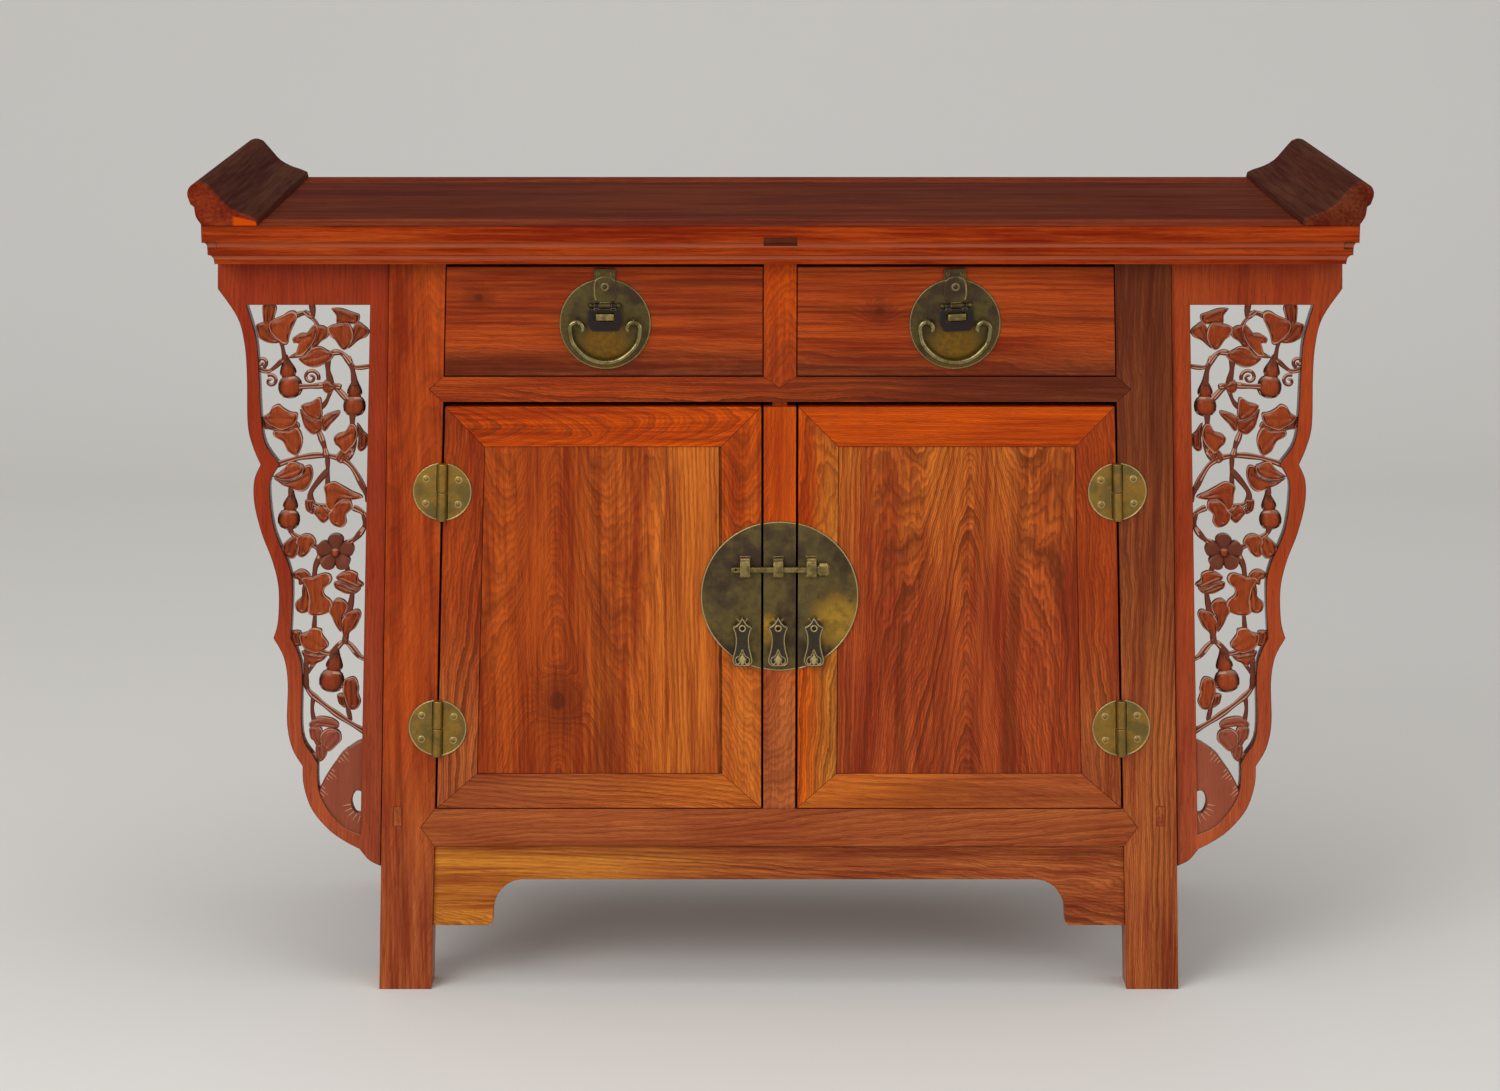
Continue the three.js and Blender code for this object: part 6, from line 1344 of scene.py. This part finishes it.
def lock_bar():
    """The bar through the staples: a square shaft with an eye at its tip and a chamfered head."""
    thickness = 5.6
    low = BAR_HEIGHT - thickness / 2
    outline = [(-50.5, low), (42, low), (42, low + thickness), (-50.5, low + thickness), (-52.4, low + 4.6),
               (-53, low + 2.8), (-52.4, low + 1.0)]
    eye = circle(1.3, 16, (-47.4, BAR_HEIGHT))
    return rounded(joined("lock_bar", [
        front_plate([outline, eye], thickness, 0.7, 0, BAR_DEPTH, 0),
        rounded_box((14, 9, 15), 2.6, (47.7, BAR_DEPTH, BAR_HEIGHT), 1),
        rounded_box((2.4, 7, 8), 0.7, (41.4, BAR_DEPTH, BAR_HEIGHT))]), 25)


class CABINET_OT_lock(bpy.types.Operator):
    """Makes the round lock plate in its three parts, and the bar"""
    bl_idname = "cabinet.lock"
    bl_label = "Make the lock plate and bar"

    def execute(self, context):
        brass = context.scene.cabinet_brass
        rims = rim_material(brass)
        worn = brass_material("worn_brass", brass, 0.25, 5.0, olive=brass.staple, brown=brass.moss,
                              gold=brass.bail, clouds=70.0, shine=0.1)
        for which, step, body, cuts, patch in LOCK_PARTS:
            material = brass_material(f"lock_brass_{which}", brass, 0.12, 1.3 * step, clouds=20.0,
                                      patch=patch)
            piece(f"lock_plate_{which}_brass", lock_plate(which, step, cuts, brass), body,
                  [material, rims, worn], f"lock_plate_{which}")
        piece("lock_bar_brass", lock_bar(), "bar", [worn], "lock_bar")
        return {"FINISHED"}


# Halves of the pendant's outlines, as shares of its half width and of its height
PENDANT_SIDE = (
    (0, 1), (0.2, 0.93), (0.5, 0.845), (0.94, 0.8), (0.8, 0.735), (0.66, 0.62), (0.64, 0.5), (0.72, 0.36),
    (0.86, 0.24), (0.98, 0.14), (0.95, 0.06), (0.72, 0.01), (0.4, 0),
)
SCROLL_SIDE = (
    (0, 0.34), (0.12, 0.27), (0.32, 0.205), (0.56, 0.18), (0.66, 0.12), (0.56, 0.06), (0.34, 0.055),
    (0.25, 0.1), (0.33, 0.145), (0.18, 0.185), (0.07, 0.23), (0, 0.27),
)
HEART_SIDE = ((0, 0.235), (0.1, 0.185), (0.24, 0.15), (0.2, 0.1), (0.1, 0.05), (0, 0.035))
PENDANT_TIP = 430.0
PENDANT_DEPTH = -199.8
PENDANT_PIN_DEPTH = -196.5


def pendant_mesh(x):
    """A hanging pull: a waisted plate with a raised rim, an eye, a sunk scroll and its knuckle."""
    half = 11.8
    height = 56.0
    right, scroll, heart = ([(half * out, height * (up - 1)) for out, up in side]
                            for side in (PENDANT_SIDE, SCROLL_SIDE, HEART_SIDE))
    outline = [tuple(p) for run in (right, mirrored(right[1:])) for p in smooth_run(run, 4)]
    piercing = [tuple(p) for p in smooth_run(scroll + mirrored(scroll[1:-1]), 3, closed=True)]
    heart += mirrored(heart[1:-1])
    eye = (0, -13)
    back = [(-8.2, 2 - height), (8.2, 2 - height), (8.2, -38), (-8.2, -38)]
    rim = [(a * 0.88, (b + 28) * 0.94 - 28.3) for a, b in outline[::2]]
    front = (x, PENDANT_DEPTH - 0.9, PENDANT_TIP)
    profile = [(0, -3), (2.2, -3), (2.6, -2.6), (2.6, 2.6), (2.2, 3), (0, 3)]
    return rounded(joined("pendant", [
        front_plate([outline, circle(2.1, 20, eye), piercing], 2.0, 0.5, x, PENDANT_DEPTH, PENDANT_TIP),
        front_plate([back], 0.8, 0.2, x, PENDANT_DEPTH + 0.55, PENDANT_TIP),
        finished(front_plate([heart], 1.4, 0.5, *front), RIM),
        closed_line(rim, 0.36, *front), closed_line(circle(3.1, 24, eye), 0.5, *front),
        closed_line(piercing, 0.4, *front), barrel(profile, x, PENDANT_PIN_DEPTH, PENDANT_PIN)]), 40)


class CABINET_OT_pendants(bpy.types.Operator):
    """Makes the three hanging pulls"""
    bl_idname = "cabinet.pendants"
    bl_label = "Make the pendants"

    def execute(self, context):
        brass = context.scene.cabinet_brass
        rims = rim_material(brass)
        for which, step, *_ in LOCK_PARTS:
            material = brass_material(f"pendant_brass_{which}", brass, 0.05, 8.0 + step, olive=brass.slate,
                                      clouds=70.0)
            piece(f"pendant_{which}_brass", pendant_mesh(FITTING_SHIFT + step * PENDANT_SPACING),
                  f"hanging_pull_{which}", [material, rims], f"pendant_{which}")
        return {"FINISHED"}


DRAWER_PLATE_MIDDLE = 187.17
DRAWER_PLATE_HEIGHT = 750.45
DRAWER_PLATE_RADIUS = 49.0
STRAP_TOP = 810.2
TAB_MIDDLE = -192.6
SHELL_MIDDLE = -192.9
TAB_FRONT = -193.4
SHELL_FRONT = -194.0
HASP_AXIS = 770.7
HASP_DEPTH = -194.8
CHEEK_MIDDLE = -195.8
CATCH_FRONT = -200.1
BAIL_AXIS = 753.45
BAIL_DEPTH = -198.1
BAIL_SPREAD = 61.0
BAIL_CURL = 7.0
BAIL_DROP = 44.0
TILTS = {"left": 0.0, "right": math.radians(-3)}


def rivet_turn(x, tilt):
    """Turns the strap and what hangs on it about the strap's middle."""
    rivet = at(x, 0, (STRAP_TOP + HASP_AXIS) / 2)
    return rivet @ Matrix.Rotation(tilt, 4, "Y") @ rivet.inverted()


def strap_mesh(x, side):
    """The strap nailed over the plate: an upper tab and a broader shell that ends at the flap's pin."""
    tab = [(-11.2, 25.5), (-11.6, 38), (-10.2, 39.5)]
    half = [(-5.9, 2.9), (-10.2, 5.5), (-12, 11), (-12, 21), (-10.6, 26.5), (-6, 29.6)]
    shell = half + [(0, 30.6)] + mirrored(half) + [(5.9, -0.5), (-5.9, -0.5)]
    parts = [front_plate([tab + mirrored(tab)], 1.6, 0.5, x, TAB_MIDDLE, HASP_AXIS),
             front_plate([shell], 2.2, 0.6, x, SHELL_MIDDLE, HASP_AXIS)]
    for across in (-7.6, 7.6):
        parts.append(nail(1.6, x + across, TAB_FRONT, HASP_AXIS + 34))
    middle = (x, SHELL_FRONT, HASP_AXIS + 20)
    edge = [p for p in smooth_run(shell[1:12], 3) if p[0] * side > 3]
    knuckle = [(0, -6), (2.3, -6), (2.8, -5.5), (2.8, 5.5), (2.3, 6), (0, 6)]
    pin = [(0, -15), (1.3, -15), (1.3, 15), (0, 15)]
    parts += [nail(2.6, *middle),
              rim_line([(x + p[0] * 0.95, SHELL_FRONT, HASP_AXIS + p[1]) for p in edge], 0.6),
              closed_line(circle(3.6, 20), 0.45, *middle),
              barrel(knuckle, x, HASP_DEPTH, HASP_AXIS), barrel(pin, x, HASP_DEPTH, HASP_AXIS, 16)]
    ball = circle(3, 12, (0, 0), -math.pi / 2, math.pi / 2)
    ball[0], ball[-1] = (0, -3), (0, 3)
    for across in (-15, 15):
        parts.append(placed(turned(ball, 20), at(x + across, HASP_DEPTH, HASP_AXIS)))
    return parts


def catch_mesh(x):
    """The catch that stands through the flap: a bridge with a flat face and two cheeks."""
    height = 6.8
    middle = HASP_AXIS - 15.3 + height / 2
    parts = [finished(rounded_box((19, 1.8, height), 0.5, (x, CATCH_FRONT, middle)), RIM)]
    for across in (-1, 1):
        parts.append(rounded_box((3.4, 9.6, height - 0.2), 0.4, (x + across * 7.75, CHEEK_MIDDLE, middle)))
    return parts


def bail_eyes(x):
    parts = []
    for across in (-1, 1):
        spot = x + across * BAIL_SPREAD / 2
        loop = [(spot, BAIL_DEPTH + a, BAIL_AXIS + b) for a, b in circle(3.75, 24)]
        parts += [tube(loop + loop[:1], 0.85, 10),
                  rounded_box((2.4, 3.6, 2.4), 0.5, (spot, TAB_MIDDLE, BAIL_AXIS))]
    return parts


def drawer_plate_mesh(x, side, tilt, brass):
    upper = joined("strap", strap_mesh(x, side) + catch_mesh(x))
    return rounded(joined("drawer_plate", [
        front_plate([circle(DRAWER_PLATE_RADIUS, 128)], PLATE_THICKNESS, brass.rim / MM,
                    x, PLATE_FRONT + PLATE_THICKNESS / 2, DRAWER_PLATE_HEIGHT),
        closed_line(circle(DRAWER_PLATE_RADIUS - 0.8, 96), 0.36, x, PLATE_FRONT, DRAWER_PLATE_HEIGHT),
        *bail_eyes(x), placed(upper, rivet_turn(x, tilt))]), 32)


def hasp_mesh(x, tilt):
    """The flap over the catch, slotted, with a knuckle on either side of the strap's."""
    top = -3.3
    low = -28
    half = [(-17.5, top), (-18.5, top - 3), (-18.5, low + 8), (-16.5, low + 4.5), (-15, low + 1.2),
            (-12, low)]
    slot = [(-11.2, -17.0), (11.2, -17.0), (11.2, -7.9), (-11.2, -7.9)]
    parts = [front_plate([half + mirrored(half), slot], 2.0, 0.5, x, HASP_DEPTH, HASP_AXIS)]
    ring = [(1.65, -2.6), (2.4, -2.6), (2.8, -2.2), (2.8, 2.2), (2.4, 2.6), (1.65, 2.6), (1.65, -2.6)]
    for across in (-8.9, 8.9):
        parts += [barrel(ring, x + across, HASP_DEPTH, HASP_AXIS),
                  rounded_box((5.2, 2.0, 3.2), 0.4, (x + across, HASP_DEPTH, HASP_AXIS - 3.4))]
    return rounded(placed(joined("hasp", parts), rivet_turn(x, tilt)), 32)


def bail_mesh(x):
    """A bow of round wire whose ends curl in under the eyes, a little thicker at its foot."""
    half = BAIL_SPREAD / 2
    curl = [(-0.75, -1.45), (-1, -1), (-0.72, -0.3), (0, 0), (0.75, -0.35), (1, -1.2)]
    side = [(1.105, -0.55), (0.62, -0.88), (0, -1)]
    right = [(half + BAIL_CURL * a, BAIL_CURL * b) for a, b in curl]
    right += [(half * a, BAIL_DROP * b) for a, b in side]
    path = smooth_run([(x + a, BAIL_DEPTH, BAIL_AXIS + b) for a, b in right + mirrored(right[:-1])], 8)
    radii = []
    for i in range(len(path)):
        share = abs(2 * i / (len(path) - 1) - 1)
        radii.append(2.6 * (1.0 - 0.3 * max(0, (share - 0.82) / 0.18) ** 2))
    return rounded(tube(path, radii, 16), 60)


class CABINET_OT_drawer_fittings(bpy.types.Operator):
    """Makes the drawers' round plates with strap and catch, the flaps and the bails"""
    bl_idname = "cabinet.drawer_fittings"
    bl_label = "Make the drawer fittings"

    def execute(self, context):
        brass = context.scene.cabinet_brass
        rims = brass_material("fitting_rim_brass", brass, 0.3, 22.0, olive=brass.staple, brown=brass.moss,
                              gold=brass.bail, clouds=90.0)
        worn = brass_material("bail_brass", brass, 0.35, 12.0, olive=brass.bail, brown=brass.moss,
                              gold=brass.pale, clouds=60.0, shine=0.24)
        dark = brass_material("flap_brass", brass, 0.0, 13.0, olive=brass.dark, brown=brass.dark, clouds=60.0)
        for name, side in SIDES:
            x = side * DRAWER_PLATE_MIDDLE
            tilt = TILTS[name]
            aged = brass_material(f"drawer_brass_{name}", brass, 0.25, 14.0 + side, olive=brass.moss,
                                  gold=brass.drawer, clouds=34.0, patch=(x, 728, 44))
            for part, data, body, slot, materials in (
                    ("plate", drawer_plate_mesh(x, side, tilt, brass), "drawer", "aged_brass", [aged, rims]),
                    ("hasp", hasp_mesh(x, tilt), "hasp", "aged_brass", [dark]),
                    ("bail", bail_mesh(x), "bail", "worn_brass", [worn])):
                node = f"drawer_{part}_{name}"
                piece(f"{node}_brass", data, f"{body}_{name}", materials, node)
        return {"FINISHED"}


# Stage


def backdrop_mesh():
    """A floor that rises into a wall behind through a wide curve."""
    half_width = 9000
    rise_start = 2600
    rise_radius = 1400
    steps = 12
    profile = [(-half_width, 0), (rise_start, 0)]
    for i in range(1, steps + 1):
        angle = 0.5 * math.pi * i / steps
        profile.append((rise_start + rise_radius * math.sin(angle), rise_radius * (1 - math.cos(angle))))
    profile.append((rise_start + rise_radius, 6000))
    build = bmesh.new()
    left, right = ([build.verts.new((side * MM, y * MM, z * MM)) for y, z in profile]
                   for side in (-half_width, half_width))
    for i in range(len(profile) - 1):
        build.faces.new([left[i], right[i], right[i + 1], left[i + 1]])
    data = mesh_of(build, "backdrop")
    if data.polygons[0].normal.z < 0:
        data.flip_normals()
    return data


# Lamps: size, place and the height aimed at, in metres
LAMPS = (
    ("key", (2.6, 2.6), (-2.4, -3.4, 2.9), 0.45),
    ("fill", (2.4, 2.4), (3.0, -3.2, 1.8), 0.45),
    ("crown", (2.8, 1.6), (0.2, -0.4, 3.4), 0.4),
)
CAMERA_PLACE = (-0.0322, -3.9427, 1.3392)
CAMERA_PITCH = 77.5


def lamp(name, power, size, place, aim):
    light = bpy.data.lights.new(name, "AREA")
    light.energy = power
    light.shape = "RECTANGLE"
    light.size, light.size_y = size
    thing = new_object(name, light)
    thing.location = place
    thing.rotation_euler = (Vector((0, 0, aim)) - Vector(place)).to_track_quat("-Z", "Y").to_euler()


class CABINET_OT_stage(bpy.types.Operator):
    """Sets out the floor, the lamps and the camera"""
    bl_idname = "cabinet.stage"
    bl_label = "Set the stage"

    def execute(self, context):
        stage = context.scene.cabinet_stage
        material, tree, shader = new_material("studio_floor")
        mottle = stretched_noise(object_place(tree), (0.7, 0.7, 0.7), 3.0)[0]
        pale = stage.floor_colour
        seen_from_behind = add_node(tree, "ShaderNodeNewGeometry").outputs["Backfacing"]
        fill(shader, {
            "Base Color": mixed(mottle, pale, [part * 0.97 for part in pale]), "Roughness": 0.8,
            "Specular IOR Level": 0.1, "Alpha": minus(1.0, seen_from_behind)})
        data = backdrop_mesh()
        data.materials.append(material)
        rounded(data, 60)
        new_object("studio_floor", data)
        for name, size, place, aim in LAMPS:
            lamp(name, getattr(stage, name), size, place, aim)
        world = bpy.data.worlds.new("studio")
        world.use_nodes = True
        fill(world.node_tree.nodes["Background"], {0: (1, 1, 1), 1: stage.sky})
        context.scene.world = world
        context.scene.view_settings.view_transform = "Standard"
        camera = bpy.data.cameras.new("camera")
        camera.lens = stage.lens
        camera.sensor_width = 36
        viewer = new_object("camera", camera)
        viewer.location = CAMERA_PLACE
        viewer.rotation_euler = (math.radians(CAMERA_PITCH), 0, 0)
        context.scene.camera = viewer
        return {"FINISHED"}


class CABINET_PT_panel(bpy.types.Panel):
    """Sizes, colours and steps of the cabinet's finish"""
    bl_label = "Altar cabinet"
    bl_idname = "CABINET_PT_panel"
    bl_space_type = "VIEW_3D"
    bl_region_type = "UI"
    bl_category = "Cabinet"

    def draw(self, context):
        scene = context.scene
        for title, settings, steps in (
                ("Wood", scene.cabinet_wood, ("cabinet.wood",)),
                ("Carving", scene.cabinet_carving, ("cabinet.spandrels",)),
                ("Brass", scene.cabinet_brass,
                 ("cabinet.hinges", "cabinet.lock", "cabinet.pendants", "cabinet.drawer_fittings")),
                ("Stage", scene.cabinet_stage, ("cabinet.stage",))):
            box = self.layout.box()
            box.label(text=title)
            for key in settings.__annotations__:
                box.prop(settings, key)
            for step in steps:
                box.operator(step)


CLASSES = (
    CabinetWoodSettings, CabinetCarvingSettings, CabinetBrassSettings, CabinetStageSettings,
    CABINET_OT_wood, CABINET_OT_spandrels, CABINET_OT_hinges, CABINET_OT_lock, CABINET_OT_pendants,
    CABINET_OT_drawer_fittings, CABINET_OT_stage, CABINET_PT_panel,
)


def register():
    for kind in CLASSES:
        bpy.utils.register_class(kind)
    bpy.types.Scene.cabinet_wood = PointerProperty(type=CabinetWoodSettings)
    bpy.types.Scene.cabinet_carving = PointerProperty(type=CabinetCarvingSettings)
    bpy.types.Scene.cabinet_brass = PointerProperty(type=CabinetBrassSettings)
    bpy.types.Scene.cabinet_stage = PointerProperty(type=CabinetStageSettings)


def unregister():
    del bpy.types.Scene.cabinet_stage
    del bpy.types.Scene.cabinet_brass
    del bpy.types.Scene.cabinet_carving
    del bpy.types.Scene.cabinet_wood
    for kind in reversed(CLASSES):
        bpy.utils.unregister_class(kind)


def main():
    register()
    bpy.ops.cabinet.wood()
    bpy.ops.cabinet.spandrels()
    bpy.ops.cabinet.hinges()
    bpy.ops.cabinet.lock()
    bpy.ops.cabinet.pendants()
    bpy.ops.cabinet.drawer_fittings()
    bpy.ops.cabinet.stage()
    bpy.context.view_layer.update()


if __name__ == "__main__":
    main()
